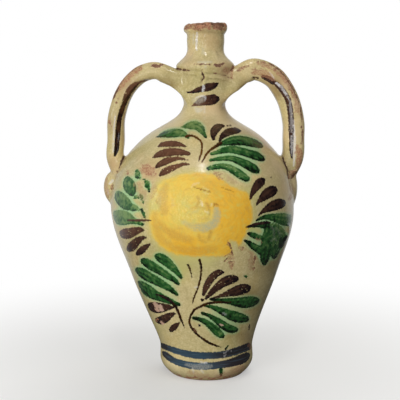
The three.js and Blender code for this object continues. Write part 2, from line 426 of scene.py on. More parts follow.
def strapField(strap, x, y, z):
    route = strapRoute(strap)
    flatX, flatZ = x[:, :, 0] + 0 * z[:, :, 0].T, z[:, :, 0].T + 0 * x[:, :, 0]
    nearest, ahead = nearestOnRoute(route, flatX, flatZ)
    dx, dz = flatX - route[nearest, 0], flatZ - route[nearest, 1]
    ax, az = ahead[nearest, 0], ahead[nearest, 1]
    off = dx * az - dz * ax
    past = np.maximum(np.where(nearest == 0, -(dx * ax + dz * az), -1),
                      np.where(nearest == len(route) - 1, dx * ax + dz * az, -1))
    out = np.abs(route[nearest, 0])
    asStrap = smoothStep(out, body["throatRim"] / 2, strap["route"][0][0])
    halfHeight = (straps["tongueHeight"] + (strap["thickness"] - straps["tongueHeight"]) * asStrap) / 2
    thinned = straps["tongueThickness"] * smoothStep(flatZ, *straps["tongueFeather"])
    wrap = np.exp(-(out / straps["tongueWrap"]) ** 2)
    halfDepth = straps["depth"] / 2 + (body["throatRim"] + thinned - straps["depth"] / 2) * wrap
    corner = straps["tongueCorner"] + (straps["corner"] - straps["tongueCorner"]) * asStrap
    a = (np.abs(off) - halfHeight + corner)[:, None, :]
    b = np.abs(y) - (halfDepth - corner)[:, None, :]
    clay = np.hypot(np.maximum(a, 0), np.maximum(b, 0)) + np.minimum(np.maximum(a, b), 0) - corner[:, None, :]
    clay = np.maximum(clay, past[:, None, :])
    # the web between tongue and arch is hollowed from below
    under = np.array(strap["under"])
    belowWeb = throatLevel + np.interp(np.abs(flatX), under[:, 0], under[:, 1]) - flatZ
    clay = -smearMin(-clay, -straps["webSlope"] * belowWeb[:, None, :], straps["smearUnder"])
    padLevel = throatLevel - straps["padDrop"]
    padSize = (strap["padThickness"], straps["padDepth"] / 2, straps["padHeight"] / 2)
    lump = [(x - strap["side"] * bodyRadiusAt(padLevel) - leanAt(padLevel)) / padSize[0], y / padSize[1],
            (z.transpose(1, 2, 0) - padLevel) / padSize[2]]
    whole = np.sqrt(lump[0] ** 2 + lump[1] ** 2 + lump[2] ** 2)
    steep = np.sqrt(sum((part / size) ** 2 for part, size in zip(lump, padSize)))
    return smearMin(clay, whole * (whole - 1) / np.maximum(steep, 1e-6), straps["smearPad"])


def strapRegion(strap, x, y, z):
    clay = strapField(strap, x, y, z)
    level = z.transpose(1, 2, 0)
    aside = x - leanAt(level)
    angle = np.arctan2(aside, -y)
    radius = np.hypot(aside, y) - unevenAt(angle, level)
    throat = lookUp(throatTable, radius, level + 0 * radius)
    collar = lookUp(collarTable, radius, level + 0 * radius)
    front = smoothStep(np.abs(np.cos(angle)), *straps["frontFacing"])
    atTongue = straps["smearTongueSide"] + (straps["smearTongueFront"] - straps["smearTongueSide"]) * front
    smear = straps["smearHeel"] + (atTongue - straps["smearHeel"]) * smoothStep(level, *straps["smearRise"])
    whole = smearMin(clay, throat + straps["skim"], smear)
    smearCollar = straps["smearCollarSide"] + (straps["smearCollarFront"] - straps["smearCollarSide"]) * front
    whole = smearMin(whole, collar + 3 * straps["skim"], smearCollar)
    # past the smear the surface dives into the wall, and at the seam each tongue dives under the other
    whole = whole + straps["dive"] * smoothStep(clay, straps["diveFrom"] * smear, smear + straps["diveReach"])
    past = (x - straps["seam"]) * -strap["side"]
    whole = whole + straps["lapDrop"] * smoothStep(past, 0, straps["lap"])
    whole = np.maximum(whole, -np.minimum(throat, collar) - straps["bedding"])
    return np.maximum(np.maximum(whole, clay - smear - straps["diveReach"]), past - straps["lap"])


def skinOf(field, low, step):
    # the zero surface of a field: one point in each cell that it crosses, one face round each edge it crosses
    sums = np.zeros(tuple(n - 1 for n in field.shape) + (4,))
    edges = []
    for axis in range(3):
        a = np.moveaxis(field, axis, 0)[:-1]
        b = np.moveaxis(field, axis, 0)[1:]
        a, b = np.moveaxis(a, 0, axis), np.moveaxis(b, 0, axis)
        at = np.argwhere((a < 0) != (b < 0))
        second, third = (axis + 1) % 3, (axis + 2) % 3
        keep = (at[:, second] > 0) & (at[:, third] > 0)
        keep &= (at[:, second] < field.shape[second] - 1) & (at[:, third] < field.shape[third] - 1)
        at = at[keep]
        va, vb = a[tuple(at.T)], b[tuple(at.T)]
        place = at.astype(float)
        place[:, axis] += va / (va - vb)
        cells = []
        for back, up in ((1, 1), (0, 1), (0, 0), (1, 0)):
            cell = at.copy()
            cell[:, second] -= back
            cell[:, third] -= up
            np.add.at(sums, tuple(cell.T), np.column_stack([place, np.ones(len(place))]))
            cells.append(cell)
        edges.append((cells, va < 0))
    used = sums[..., 3] > 0
    number = np.full(used.shape, -1)
    number[used] = np.arange(used.sum())
    points = sums[used]
    vertices = points[:, :3] / points[:, 3:] * step + low
    quads = []
    for cells, outward in edges:
        ring = np.column_stack([number[tuple(cell.T)] for cell in cells])
        quads.append(np.where(outward[:, None], ring, ring[:, ::-1]))
    return vertices, np.vstack(quads)


def smoothed(vertices, quads, rounds):
    ends = np.vstack([quads[:, [0, 1]], quads[:, [1, 2]], quads[:, [2, 3]], quads[:, [3, 0]]])
    for _ in range(rounds):
        total = np.zeros_like(vertices)
        count = np.zeros(len(vertices))
        np.add.at(total, ends[:, 0], vertices[ends[:, 1]])
        np.add.at(total, ends[:, 1], vertices[ends[:, 0]])
        np.add.at(count, ends[:, 0], 1)
        np.add.at(count, ends[:, 1], 1)
        vertices = vertices + 0.5 * (total / count[:, None] - vertices)
    return vertices


def makeStrap(strap):
    step = straps["cell"]
    reach = max(abs(strapRoute(strap)[:, 0])) + strap["thickness"] / 2 + straps["boxOut"]
    pastLeft, pastRight = straps["boxPastAxis"]
    left, right = (pastLeft, reach) if strap["side"] > 0 else (-reach, pastRight)
    low = np.array([left, -straps["boxDepth"], throatLevel - straps["padDrop"] - straps["boxBelow"]])
    high = np.array([right, straps["boxDepth"], throatLevel + straps["boxAbove"]])
    x, y, z = [np.arange(a, b, step) for a, b in zip(low, high)]
    field = strapRegion(strap, x[:, None, None], y[None, :, None], z[:, None, None])
    vertices, quads = skinOf(field, low, step)
    return makePiece(strap["name"], smoothed(vertices, quads, straps["smoothing"]), quads.tolist())


leftPiece, rightPiece = makeStrap(leftStrap), makeStrap(rightStrap)
for piece in (leftPiece, rightPiece):
    print(piece.name, "skin:", len(piece.data.vertices), "points")

# Paint, wear and dents are laid one by one: each stroke is a row of (across, down, breadth) in picture dots, carried
# on to the jug along the camera's lines of sight
pieces = (bodyPiece, neckPiece, leftPiece, rightPiece)
eyeMm = np.array(eye) / mm
sight = {
    "thinnest": 0.4,
    "pastEdge": -0.3,  # skin that faces further away than this takes no stroke
    "edgeOn": (0.1, 0.28),  # between these facings, the gap goes over from the jug itself to the picture
    "sameSkin": 24,  # what is nearer or further than the stroke by this much (mm) is another surface
    "far": 99.0,
}


def treeOf(piece):
    points = [vertex.co / mm for vertex in piece.data.vertices]
    return BVHTree.FromPolygons(points, [tuple(face.vertices) for face in piece.data.polygons])


skinTrees = [treeOf(piece) for piece in pieces]


def onJug(u, v):
    hits = [tree.ray_cast(Vector(eyeMm), sightLine(u, v)) for tree in skinTrees]
    hits = [hit for hit in hits if hit[0] is not None]
    return np.array(min(hits, key=lambda hit: hit[3])[0]) if hits else None


def layStroke(points):
    # the stroke's middle line: place on the jug and half breadth (mm), then place, half breadth (dots) and depth
    spine = []
    for u, v, breadth in smoothLine(points, 4):
        middle = onJug(u, v)
        if middle is not None:
            depth = np.linalg.norm(middle - eyeMm)
            half = max(breadth, sight["thinnest"]) / 2
            spine.append((*middle, half * depth / focal, u, v, half, depth))
    return np.array(spine)


def readSkin(piece):
    mesh = piece.data
    points, normals = np.empty(3 * len(mesh.vertices)), np.empty(3 * len(mesh.vertices))
    mesh.vertices.foreach_get("co", points)
    mesh.vertex_normals.foreach_get("vector", normals)
    points, normals = points.reshape(-1, 3) / mm, normals.reshape(-1, 3)
    depth = np.linalg.norm(eyeMm - points, axis=1)
    u, v = picturePlace(points)
    turned = ((eyeMm - points) * normals).sum(1) / depth
    return {"points": points, "normals": normals, "u": u, "v": v, "depth": depth, "turned": turned}


def strokeReach(skin, spine, margin):
    # for the skin near a stroke: gap to its edge (mm, negative inside), way along it, height and side in it (-1 to 1).
    # The gap is measured in the picture, and on the jug itself where the skin turns away.
    (lowU, lowV), (highU, highV) = spine[:, 4:6].min(0) - margin, spine[:, 4:6].max(0) + margin
    inside = (skin["u"] > lowU) & (skin["u"] < highU) & (skin["v"] > lowV) & (skin["v"] < highV)
    near = np.flatnonzero(inside & (skin["turned"] > sight["pastEdge"]))
    p, u, v, depth = (skin[key][near] for key in ("points", "u", "v", "depth"))
    seen = smoothStep(skin["turned"][near], *sight["edgeOn"])
    reach = {key: np.full(len(near), sight["far"]) for key in ("gap", "along", "drop", "side", "half")}
    for i, (a, b) in enumerate(zip(spine, spine[1:])):
        run = b - a
        length = max(math.hypot(run[4], run[5]), 1e-6)
        flat = np.clip(((u - a[4]) * run[4] + (v - a[5]) * run[5]) / length ** 2, 0, 1)
        offU, offV = u - a[4] - flat * run[4], v - a[5] - flat * run[5]
        half = a[6] + flat * run[6]
        inPicture = (np.hypot(offU, offV) - half) * depth / focal
        inPicture = np.where(np.abs(depth - a[7] - flat * run[7]) < sight["sameSkin"], inPicture, sight["far"])
        t = np.clip((p - a[:3]) @ run[:3] / max(run[:3] @ run[:3], 1e-9), 0, 1)
        onSkin = np.linalg.norm(p - a[:3] - t[:, None] * run[:3], axis=1) - a[3] - t * run[3]
        here = {"gap": seen * inPicture + (1 - seen) * onSkin, "along": (i + flat) / (len(spine) - 1),
                "drop": np.clip(offV / half, -1, 1), "half": half * depth / focal,
                "side": np.clip((offV * run[4] - offU * run[5]) / length / half, -1, 1)}
        closer = here["gap"] < reach["gap"]
        for key in reach:
            reach[key][closer] = here[key][closer]
    return near, reach


def lay(layer, near, *columns):
    # keeps, for each point, the stroke whose edge is nearest
    closer = columns[0] < layer[near, 0]
    layer[near[closer]] = np.column_stack([column + 0 * columns[0] for column in columns])[closer]


# Dents, creases and ridges in the clay: depth in mm, then the stroke
dents = [
    (0.9, [(148, 80.5, 3), (143, 81.5, 4.4), (137.5, 83, 6), (130.3, 90.3, 6), (125.2, 100.3, 5.6),
           (121.4, 110.3, 5.6), (118.9, 120.3, 5.8), (118, 130.3, 6), (117.1, 140.3, 6), (116.6, 150.3, 5),
           (115, 156, 3)]),
    (1.2, [(262, 76, 4), (273, 80.5, 5.4), (280, 86.5, 6), (286, 94, 6), (289, 101, 5.6), (290.8, 110, 5.4),
           (291.5, 120, 5.4), (292.3, 130, 5.2), (292, 140, 5), (291.5, 150, 4.4), (292, 158, 2.4)]),
    (1.1, [(201.8, 70.5, 1.4), (202.9, 75, 1.8), (203.9, 77.4, 1.8), (202.5, 80, 1.8), (202.3, 82.4, 1.2)]),
    (1.3, [(175.5, 68, 1.8), (180, 69.2, 2.4), (184, 69.8, 2.6), (190, 70.6, 2.6), (196, 71, 2.6), (200.6, 72, 2)]),
    (-1.1, [(184, 72.6, 2.6), (190, 73.6, 4), (196, 74.4, 4.4), (199.6, 77.4, 4), (200, 82, 2.6)]),
    (1.1, [(205, 73.4, 2), (211, 74.2, 2.6), (218, 74.6, 2.6), (224, 75.6, 2.4), (228, 77, 2.4),
           (232.5, 78.5, 1.8)]),
    (-1.1, [(206, 77, 3), (211, 77.4, 4), (218, 78, 4), (225, 79.6, 4), (231, 81.4, 2.6)]),
    (0.8, [(233.4, 67.4, 1.4), (231.6, 70, 2), (229.5, 72.2, 1.8)]),
    (0.7, [(242.6, 67.6, 3.4), (244.4, 67.4, 3.4)]),
    (0.6, [(239.6, 70.4, 2), (240.6, 70.6, 2)]),
    (0.5, [(247.4, 65.6, 2), (249, 65.4, 2)]),
    (0.8, [(117, 171.6, 2), (118.2, 172, 2)]),
    (0.8, [(116, 176.5, 2), (117, 176.9, 2)]),
    (0.7, [(112.2, 186.4, 2.6), (112.8, 188.6, 2.6)]),
    (0.9, [(125.5, 154.5, 1.4), (123, 158.5, 2.4), (120.6, 164.6, 2.2), (119.2, 169.6, 1.4)]),
    (0.9, [(282.2, 156.4, 1.6), (284.6, 163, 2.2), (286.8, 169.6, 2.4), (288.5, 178, 2.4), (290.6, 190, 1.6)]),
    (-1.4, [(289, 178.5, 2.2), (290.4, 174.4, 3), (293, 171.6, 3), (297, 169.8, 2.2)]),
    (0.8, [(291.6, 178.4, 2), (294, 174.8, 2.2), (298, 172.2, 1.6)]),
    (0.45, [(144.5, 168.5, 6), (148, 170.6, 10.5), (152, 172, 9)]),
    (0.4, [(154.5, 305.6, 4.4), (158, 308.2, 7.4), (161.5, 310.4, 5)]),
    (0.35, [(228, 255.5, 3.6), (230.2, 259.5, 5), (231.4, 263.5, 3)]),
    (0.35, [(252, 256, 3), (253.4, 262, 4.4), (253, 268, 2.6)]),
    (0.5, [(228.5, 243.5, 1.2), (231, 249.4, 1.6), (233, 256, 1.2)]),
    (0.5, [(215.2, 64.6, 2), (219.4, 64.4, 3), (223.4, 63.2, 1.8)]),
    (0.35, [(193, 64, 1.2), (200, 64.3, 1.6), (209.5, 64.5, 1.2)]),
    (0.5, [(152.4, 65.6, 1.8), (157.5, 65, 3), (163, 64.8, 1.8)]),
    (0.7, [(214, 24.6, 3), (218, 23.8, 4), (221.5, 25.4, 3.4)]),
    (-0.8, [(204.4, 71.6, 3), (206.6, 75.4, 4.4), (205.6, 79.4, 4.4), (205, 83, 3)]),
    (-1.4, [(288, 226, 5), (288, 233, 8), (284.6, 240, 5)]),
]
laidDents = [(depth, layStroke(points)) for depth, points in dents]
for piece in pieces:
    skin = readSkin(piece)
    for depth, spine in laidDents:
        near, reach = strokeReach(skin, spine, margin=5)
        inside = np.clip(1 - (reach["gap"] / reach["half"] + 1) ** 2, 0, 1) ** 2
        skin["points"][near] -= skin["normals"][near] * (depth * inside)[:, None]
    piece.data.vertices.foreach_set("co", (skin["points"] * mm).ravel())
    piece.data.update()
print("dents pressed:", len(dents))

# Manganese brown, brushed on the raw glaze like the green: thin where the brush was dry, near black where it pooled
brownPaint = {"thin": "#744F3A", "thick": "#170D11", "rust": "#F3E495", "ragged": 2.0, "pinholes": 3.4, "dabs": 0.2,
              "pooling": 0.1, "rim": 0.12, "brushed": 0.1, "softEdge": 0.45, "cover": 1.0}
# Brown leaves and stems: thin to thick (0 to 1) at the start and at the end, worn (0 to 1) or rusty (below 0), then
# the stroke
brownStrokes = [
    (0.75, 0.95, 0.05, [(185.6, 92.5, 0.6), (192, 92, 3), (197, 90.2, 5.2), (202.5, 88.8, 6.2), (208, 87.2, 8),
                        (212.5, 86, 6.8), (216, 84.6, 4), (218.5, 83.3, 1)]),
    (0.2, 1, 0.1, [(191.7, 106, 0.8), (195.5, 104.2, 3.8), (200, 102.2, 7.4), (204.5, 100.8, 9.6),
                   (209, 100, 10.6), (213.5, 99.3, 10), (216.5, 98.8, 6.4)]),
    (0.35, 0.45, 0.1, [(157.4, 146.8, 0.6), (161.5, 144.8, 4.6), (167, 143.9, 6), (174, 143.8, 6.2),
                       (180, 144.7, 4.6), (184.5, 146, 2.4), (186.2, 146.7, 1)]),
    (0.4, 0.4, 0.12, [(152.4, 157.8, 0.6), (156.5, 155.6, 4.6), (161.5, 153.7, 7.4), (168, 152.4, 8.2),
                      (175.5, 151.8, 7.6), (182, 152.3, 6.2), (187.5, 153.3, 4.6), (189.4, 153.8, 2.6)]),
    (0.6, 0.25, 0.2, [(155.3, 168, 1), (158, 165.8, 4.6), (161.5, 163.4, 6.4), (167, 161, 6.8), (172, 159.6, 5.4),
                      (178.5, 158.5, 3.6), (184, 159.2, 2.6), (188, 160.1, 1)]),
    (0.5, 0.2, 0.3, [(159.3, 176.3, 1), (162.5, 173, 5.6), (166.5, 170.8, 7.4), (172, 168.3, 6.6),
                     (178, 165.9, 4.4), (184, 164.1, 3.6), (189, 164.2, 1.6)]),
    (0.9, 0.75, 0.05, [(213.6, 139.3, 2.8), (213.3, 135.5, 5.4), (214.2, 131.5, 8), (216.5, 128.4, 8.4),
                       (219.9, 126.5, 5.8), (224.1, 125.7, 2)]),
    (0.9, 0.85, 0.05, [(219.6, 140.6, 2.6), (221.8, 136.8, 4.8), (225.6, 133.6, 6.8), (230.2, 131.6, 7.6),
                       (234.8, 130.8, 6.8), (238, 130.8, 4.6), (240.6, 131.1, 1.4)]),
    (0.7, 1, 0, [(250.2, 199.5, 1.6), (251.6, 195.3, 3.6), (254, 190.4, 6.4), (257, 186, 8.6), (260.3, 182.3, 9),
                 (263, 180.2, 5)]),
    (0.8, 1, 0, [(256.3, 204.8, 1.6), (259.5, 201, 4.4), (263.5, 196.8, 8.4), (267.8, 193.3, 11),
                 (271.8, 190.9, 10.6), (274.5, 189.5, 6)]),
    (0.8, 1, 0, [(258.8, 215, 1.8), (263, 211.6, 4), (268.5, 208.2, 8), (274, 205.6, 10.6), (279.5, 203.8, 10.6),
                 (283.3, 203, 6)]),
    (0.55, 0.65, 0.3, [(122.4, 233, 6.4), (125, 233.6, 10.4), (129, 233.3, 10.6), (134, 231.6, 8.6),
                       (138.5, 230.2, 6.6), (141.5, 229.8, 4), (144.2, 230.5, 1)]),
    (0.8, 0.75, 0.25, [(130, 248.6, 7), (132, 246.6, 9.6), (135, 243.2, 8.6), (138.8, 240, 7), (142.5, 238, 4.2),
                       (146.5, 237.3, 1)]),
    (0.8, 0.8, 0.05, [(137.8, 253.6, 4.5), (140.3, 251.4, 6.8), (143.5, 248.8, 6.8), (146.8, 246.2, 4.6),
                      (150.8, 243.8, 1)]),
    (0.9, 0.8, 0.1, [(149.5, 304.5, 4), (152.5, 306.6, 9), (157.5, 307.8, 11), (163, 307.8, 9), (168, 307.3, 6),
                     (173.5, 307.8, 1.8)]),
    (0.9, 0.85, 0.15, [(157.5, 319.8, 5), (161, 320.2, 8.6), (165.5, 318.3, 8.6), (170, 315.6, 6),
                       (173.3, 314, 3.6), (176, 313.6, 1)]),
    (0.85, 0.8, 0.08, [(171.3, 329.8, 5), (173.6, 327.6, 6.6), (176.4, 325.2, 4.6), (180, 322.4, 1)]),
    (0.7, 0.85, 0.25, [(203.4, 294.5, 3.4), (205.4, 289, 5.6), (207.9, 283.5, 7), (211.2, 278.5, 7.6),
                       (215.3, 274.6, 7.4), (219.6, 272.3, 6), (223.2, 272.4, 2.6)]),
    (0.8, 0.95, 0.3, [(206.2, 298.2, 3), (210, 294.2, 5), (214.8, 289.2, 7), (220.8, 284.3, 8.8),
                      (227, 280.7, 9.6), (232.6, 279, 8.6), (236.4, 278.9, 5)]),
    (0.8, 0.95, 0.3, [(213, 298, 1.8), (219, 296.4, 3.2), (225.4, 294.5, 5.4), (232.4, 292.2, 8.4),
                      (239.8, 289.9, 10.8), (245.3, 288.5, 9.6), (248.6, 288, 5.4)]),
    (0.5, 0.25, -0.5, [(186.5, 136.5, 3.5), (189, 135.4, 2.4), (193, 136, 2.2), (197, 137.8, 2.2),
                       (200.5, 140.8, 2.2), (202, 145, 2), (201.6, 152, 2), (200, 157, 2), (198.7, 161, 1.4)]),
    (0.25, 0.75, -0.5, [(202, 162.5, 1.4), (204, 158.5, 2), (207, 153.5, 2.4), (211, 149.5, 2.6), (215, 147, 3),
                        (220.5, 143, 4)]),
    (1, 1, 0, [(155.8, 294.4, 1.4), (162, 296.2, 2.8), (168, 299.2, 3.2), (172.6, 303, 3)]),
    (0.9, 0.85, -0.5, [(172, 302.6, 2.8), (175.8, 307, 3), (178.6, 312.5, 2.8), (180.3, 317.5, 2.2),
                       (182.4, 322.7, 1.8), (184.6, 327.6, 1)]),
    (0.85, 0.7, -0.5, [(199.5, 260, 2.4), (200.9, 264.5, 2.4), (201.2, 270, 2.2), (200.5, 278.2, 2.2),
                       (198.6, 285.5, 2), (196.4, 291.8, 1.8), (193.6, 299, 1.6), (192.5, 303.8, 1)]),
    (0.8, 0.7, -0.5, [(187.7, 264.5, 2), (189.5, 268.2, 2.2), (190.9, 272.7, 1.8), (192.1, 277.7, 1)]),
    (0.8, 0.85, -0.5, [(230.9, 302.3, 1.6), (220.9, 302.3, 2.2), (213.6, 302.7, 2.6), (207.3, 303.6, 2.6),
                       (200.9, 306.4, 2.6), (195.5, 309, 2.4), (191.8, 313.6, 2.4), (190, 317.3, 2.4),
                       (189.5, 322.7, 2.4), (191.8, 328.2, 2.4), (195.5, 332.7, 2.2), (201.8, 338.2, 2.2),
                       (209, 342.7, 2.4), (215.5, 345.5, 2), (220.9, 346.8, 1)]),
    (0.5, 0.5, 0.1, [(128, 220.4, 2), (140, 220.4, 2.6), (151.2, 220.4, 1.2)]),
    (0.9, 0.9, 0, [(246, 227.5, 1.5), (253, 225, 2.8), (261, 223.3, 3.4), (267, 222.5, 3), (271, 222.8, 1.2)]),
    (0.6, 0.6, 0, [(227.2, 125.7, 1.6), (227.8, 125.7, 1.6)]),
    (0.6, 0.6, 0, [(230, 125.5, 1.6), (230.6, 125.5, 1.6)]),
    (0.9, 0.9, 0, [(202, 300, 3), (202.6, 300, 3)]),
    (0.9, 0.9, 0, [(199.2, 325.5, 2.4), (199.8, 325.5, 2.4)]),
    (0.7, 0.7, 0, [(270.8, 177.5, 1.4), (271.2, 177.5, 1.4)]),
    (0.5, 0.5, 0.2, [(193.5, 329, 2.6), (196, 332.4, 3)]),
    (0.8, 0.8, 0.1, [(249.6, 324.5, 1.2), (249, 329.6, 1.4)]),
    # the left strap's stripe is brown paint in its groove; at its top, under the arch, its near black and the soft
    # brown beside it are also painted shade
    (0.3, 0.3, 0.3, [(150, 79.6, 1.2), (144, 80.8, 2), (138, 83, 2.6)]),
    (0.15, 0.5, 0.5, [(136, 83.6, 4), (131, 88, 6), (126.6, 94.6, 5), (124, 100, 3)]),
    (0.8, 1, -0.4, [(138, 84, 2.4), (134, 87.4, 4), (129.6, 93, 4.6), (125.8, 100.3, 4.8), (122.2, 109, 5),
                    (119.8, 118, 5), (118.4, 127, 5.2), (117.6, 136, 5.2), (116.9, 145, 5), (116, 151.6, 4.4),
                    (114.8, 155.6, 2.4)]),
    (0.6, 0.6, 0.45, [(253, 77.6, 2), (258, 77.8, 2)]),
    (0.8, 0.7, 0.25, [(263, 77, 4), (268, 78.6, 6), (273.7, 82.4, 5)]),
    (0.6, 0.9, 0.3, [(273, 81, 3), (279, 86.4, 5.4), (285, 94, 6), (288.4, 101, 6), (290.2, 110, 6),
                     (291, 120, 6), (291.4, 130, 5.6), (291.4, 140, 4.8), (291.4, 150, 4), (292, 158, 1.6)]),
]

# Copper green, brushed on the raw glaze: it bleeds into the coat (mm), most between two strokes
greenPaint = {"thin": "#6F8C50", "middle": "#2D5E2C", "thick": "#0A170B", "halo": "#9CC68E", "bleed": 4.5, "dabs": 0.42,
              "pooling": 0.26, "rim": 0.2, "brushed": 0.18, "softEdge": 0.5, "cover": 1.0}
# Green leaves, in the same way
greenStrokes = [
    (0.2, 0.65, 0, [(181, 127.3, 1), (186, 126.2, 4.5), (191, 125.5, 8), (196, 125.5, 9), (200.5, 128.5, 8),
                    (203, 132.5, 5), (205.5, 136.8, 3)]),
    (0.8, 0.3, 0, [(156, 137.3, 0.5), (162, 135.2, 4.8), (168, 133.7, 8), (174.5, 133, 9), (180.5, 133, 7.6),
                   (185, 134.6, 4.6), (188, 137, 3.4)]),
    (0.5, 1.15, 0, [(220, 144.4, 3.4), (226, 142.3, 6.4), (232.5, 140.9, 9), (240, 140.5, 9.8),
                    (247.5, 141.6, 9.4), (254.5, 143.4, 8.2), (259, 145.2, 6), (261.6, 146.4, 3.4)]),
    (0.38, 1.05, 0, [(211.4, 153.8, 3), (218, 152.2, 4.6), (225, 150, 6.6), (233, 149.6, 7.6),
                     (241.5, 151.4, 8.2), (249.5, 153.6, 8.4), (256.5, 156, 8.8), (261, 158.2, 6.6),
                     (263.6, 159.4, 3.4)]),
    (0.38, 0.95, 0.1, [(210.4, 160, 3), (217, 159.2, 4), (224.5, 158.2, 5), (232.5, 158.8, 6.4),
                       (240, 161.5, 7.8), (247.5, 165, 8.8), (253.5, 168.5, 8.8), (257.5, 171.3, 5)]),
    (0.5, 0.6, 0.3, [(208.6, 168.4, 4.4), (215.5, 166.9, 5.4), (222.5, 166.3, 6), (229.5, 168.1, 7),
                     (236, 171.7, 8.2), (242, 175.8, 8.4), (246.8, 178.7, 6.4)]),
    (1, 0.4, 0.1, [(256, 220.5, 1.8), (262, 218, 4), (268.5, 217, 6), (275.5, 217.8, 8.6), (283, 219.2, 12),
                   (289.5, 220.5, 12)]),
    (0.5, 0.45, 0.35, [(270, 225.6, 5), (276, 228, 8), (280.6, 232.6, 9), (283, 237, 7)]),
    (0.5, 0.75, 0.3, [(275, 231, 8), (277.4, 238, 10), (275.6, 245, 12), (274.4, 251, 10), (274, 256.6, 5)]),
    (0.55, 0.95, 0, [(266.6, 224, 5), (268.4, 230, 9), (268, 238, 12), (267.2, 246, 13), (265.6, 253, 11),
                     (264.6, 259, 9), (264.3, 264.4, 3)]),
    (1.2, 1.2, 0, [(278.4, 246, 6), (281.6, 242, 11), (285, 239.4, 9)]),
    (0.95, 0.5, 0, [(248.4, 233.4, 3), (252.4, 234.8, 5.4), (256.4, 236.6, 5.8), (261, 237.6, 4.5), (265, 236, 3)]),
    (1.2, 0.5, 0, [(244.8, 240.6, 2.8), (249, 243, 5), (253.4, 246.4, 6.8), (258, 249, 8), (263, 252, 9)]),
    (1, 0.95, 0, [(247, 227, 1.6), (255, 225.4, 4), (262, 225.2, 6), (269, 227, 8)]),
    (0.55, 0.65, 0.05, [(127.5, 178, 4), (128.3, 182, 10), (129.5, 186, 12.5), (131, 190, 10.5), (132.5, 194, 5)]),
    (0.45, 0.6, 0.05, [(118.5, 193, 5), (119.5, 196.5, 10), (122.5, 200.5, 12.5), (126.5, 204.5, 11),
                       (131, 208, 6), (134.6, 209.8, 3.4)]),
    (0.3, 0.4, 0.05, [(114.5, 216, 9), (118, 217, 14), (122.5, 217.8, 15), (127.5, 218.6, 12),
                      (132.5, 220.3, 7.5), (138, 222.5, 4), (143, 224.2, 1.5)]),
    (0.35, 0.5, 0.3, [(136.8, 170.4, 3), (137.6, 173, 5), (137, 176.6, 4.4)]),
    (0.5, 0.4, 0.2, [(139, 177.6, 3), (140.4, 178.4, 2)]),
    (0.6, 0.5, 0.2, [(142.6, 179, 1.2), (145, 179.4, 1.4)]),
    (0.4, 0.5, 0.3, [(145.4, 181.4, 2.4), (147.6, 183, 4.6), (146.4, 186, 4)]),
    (0.5, 0.6, 0.2, [(148.6, 187.4, 3), (149, 191.6, 2.2)]),
    (0.4, 0.4, 0.2, [(140.4, 195, 2.4), (142, 197.4, 3.4), (141.4, 199.6, 2)]),
    (0.4, 0.4, 0.2, [(143, 201.4, 2.2), (143.2, 203.4, 1.6)]),
    (0.3, 0.4, 0.2, [(134.4, 198, 2.4), (136.4, 196.6, 3.6), (138.6, 197.4, 2.4)]),
    (0.15, 0.2, 0.4, [(130.6, 205, 4), (135, 207.4, 5), (138.6, 209.6, 3)]),
    (0.55, 0.6, 0.2, [(141.6, 209, 2.4), (143.4, 213.4, 3.4), (144.6, 217.4, 2.2)]),
    (0.8, 0.8, 0, [(138.6, 223.2, 3.4), (142.6, 224.4, 3)]),
    (0.7, 0.68, 0, [(156.8, 256, 5), (160, 257.6, 9), (165.2, 260.6, 9.8), (170.8, 265.6, 8.4),
                    (175.8, 270.8, 6.2), (178.6, 274.6, 4.6), (181, 277, 3.6)]),
    (0.8, 0.76, 0, [(143.3, 260.9, 6), (147.4, 263.2, 8.8), (153.8, 267.2, 9), (161, 271.6, 8), (168, 276, 6.8),
                    (173.6, 279.6, 5.4), (178.4, 284, 3.4)]),
    (0.76, 0.76, 0, [(138, 270, 6), (142.5, 273, 9.4), (149.5, 277.3, 10), (157, 281.2, 9), (165.5, 286, 7.4),
                     (172.5, 290.8, 5), (177, 294.4, 3.6)]),
    (0.7, 0.76, 0, [(139.2, 282.3, 4), (142.5, 286.2, 9), (148.5, 291, 11.2), (155.5, 295.2, 9.8),
                    (163.5, 298.6, 7.8), (171.5, 301.8, 5.6), (176, 303.6, 4.6), (179, 304.6, 3.4)]),
    (0.95, 0.75, 0, [(210.5, 299.2, 3), (220.5, 300.4, 4.4), (229, 301.2, 6.4), (236.5, 302.2, 9),
                     (244, 302.5, 11.6), (251, 301.6, 11), (256.5, 300.4, 6.4)]),
    (0.75, 0.75, 0, [(203.5, 305.2, 2), (211, 306.8, 4), (217.5, 309.2, 6), (224.5, 312.4, 8.2),
                     (232, 315.6, 10.4), (239.5, 317.8, 10.6), (245.5, 318.8, 7)]),
    (1, 0.75, 0, [(202, 313.2, 3), (208.5, 315.2, 3.8), (214.5, 318.8, 5.6), (220.5, 323.2, 7.6),
                  (226.5, 327.2, 8.4), (232, 329.3, 8), (235.8, 329.6, 5)]),
    (1, 0.6, 0, [(194, 318, 3.8), (199, 319.2, 4.4), (205.5, 322, 5.6), (211.3, 326.3, 7.2), (216.5, 331, 8.4),
                 (220.5, 334.6, 7), (223, 336.5, 3.6)]),
    (0.9, 0.8, 0, [(221, 370, 4.4), (221.2, 375, 2.6)]),
    (0.8, 0.7, 0, [(228, 345.5, 1.5), (225.5, 349, 2)]),
    (0.5, 0.5, 0.3, [(245.5, 276.4, 3), (246.3, 276.6, 3)]),
]

# Cobalt blue, drawn on the wheel: streaks of the brush run along the bands, which turn navy towards both ends
bluePaint = {"plain": "#16394F", "navy": "#020A24", "streak": "#4E6E84", "streakBreadth": 1.5, "streakLength": 26,
             "navyLeft": (0.3, 0.1), "navyRight": (0.52, 0.78), "softEdge": 0.5, "cover": 0.95}
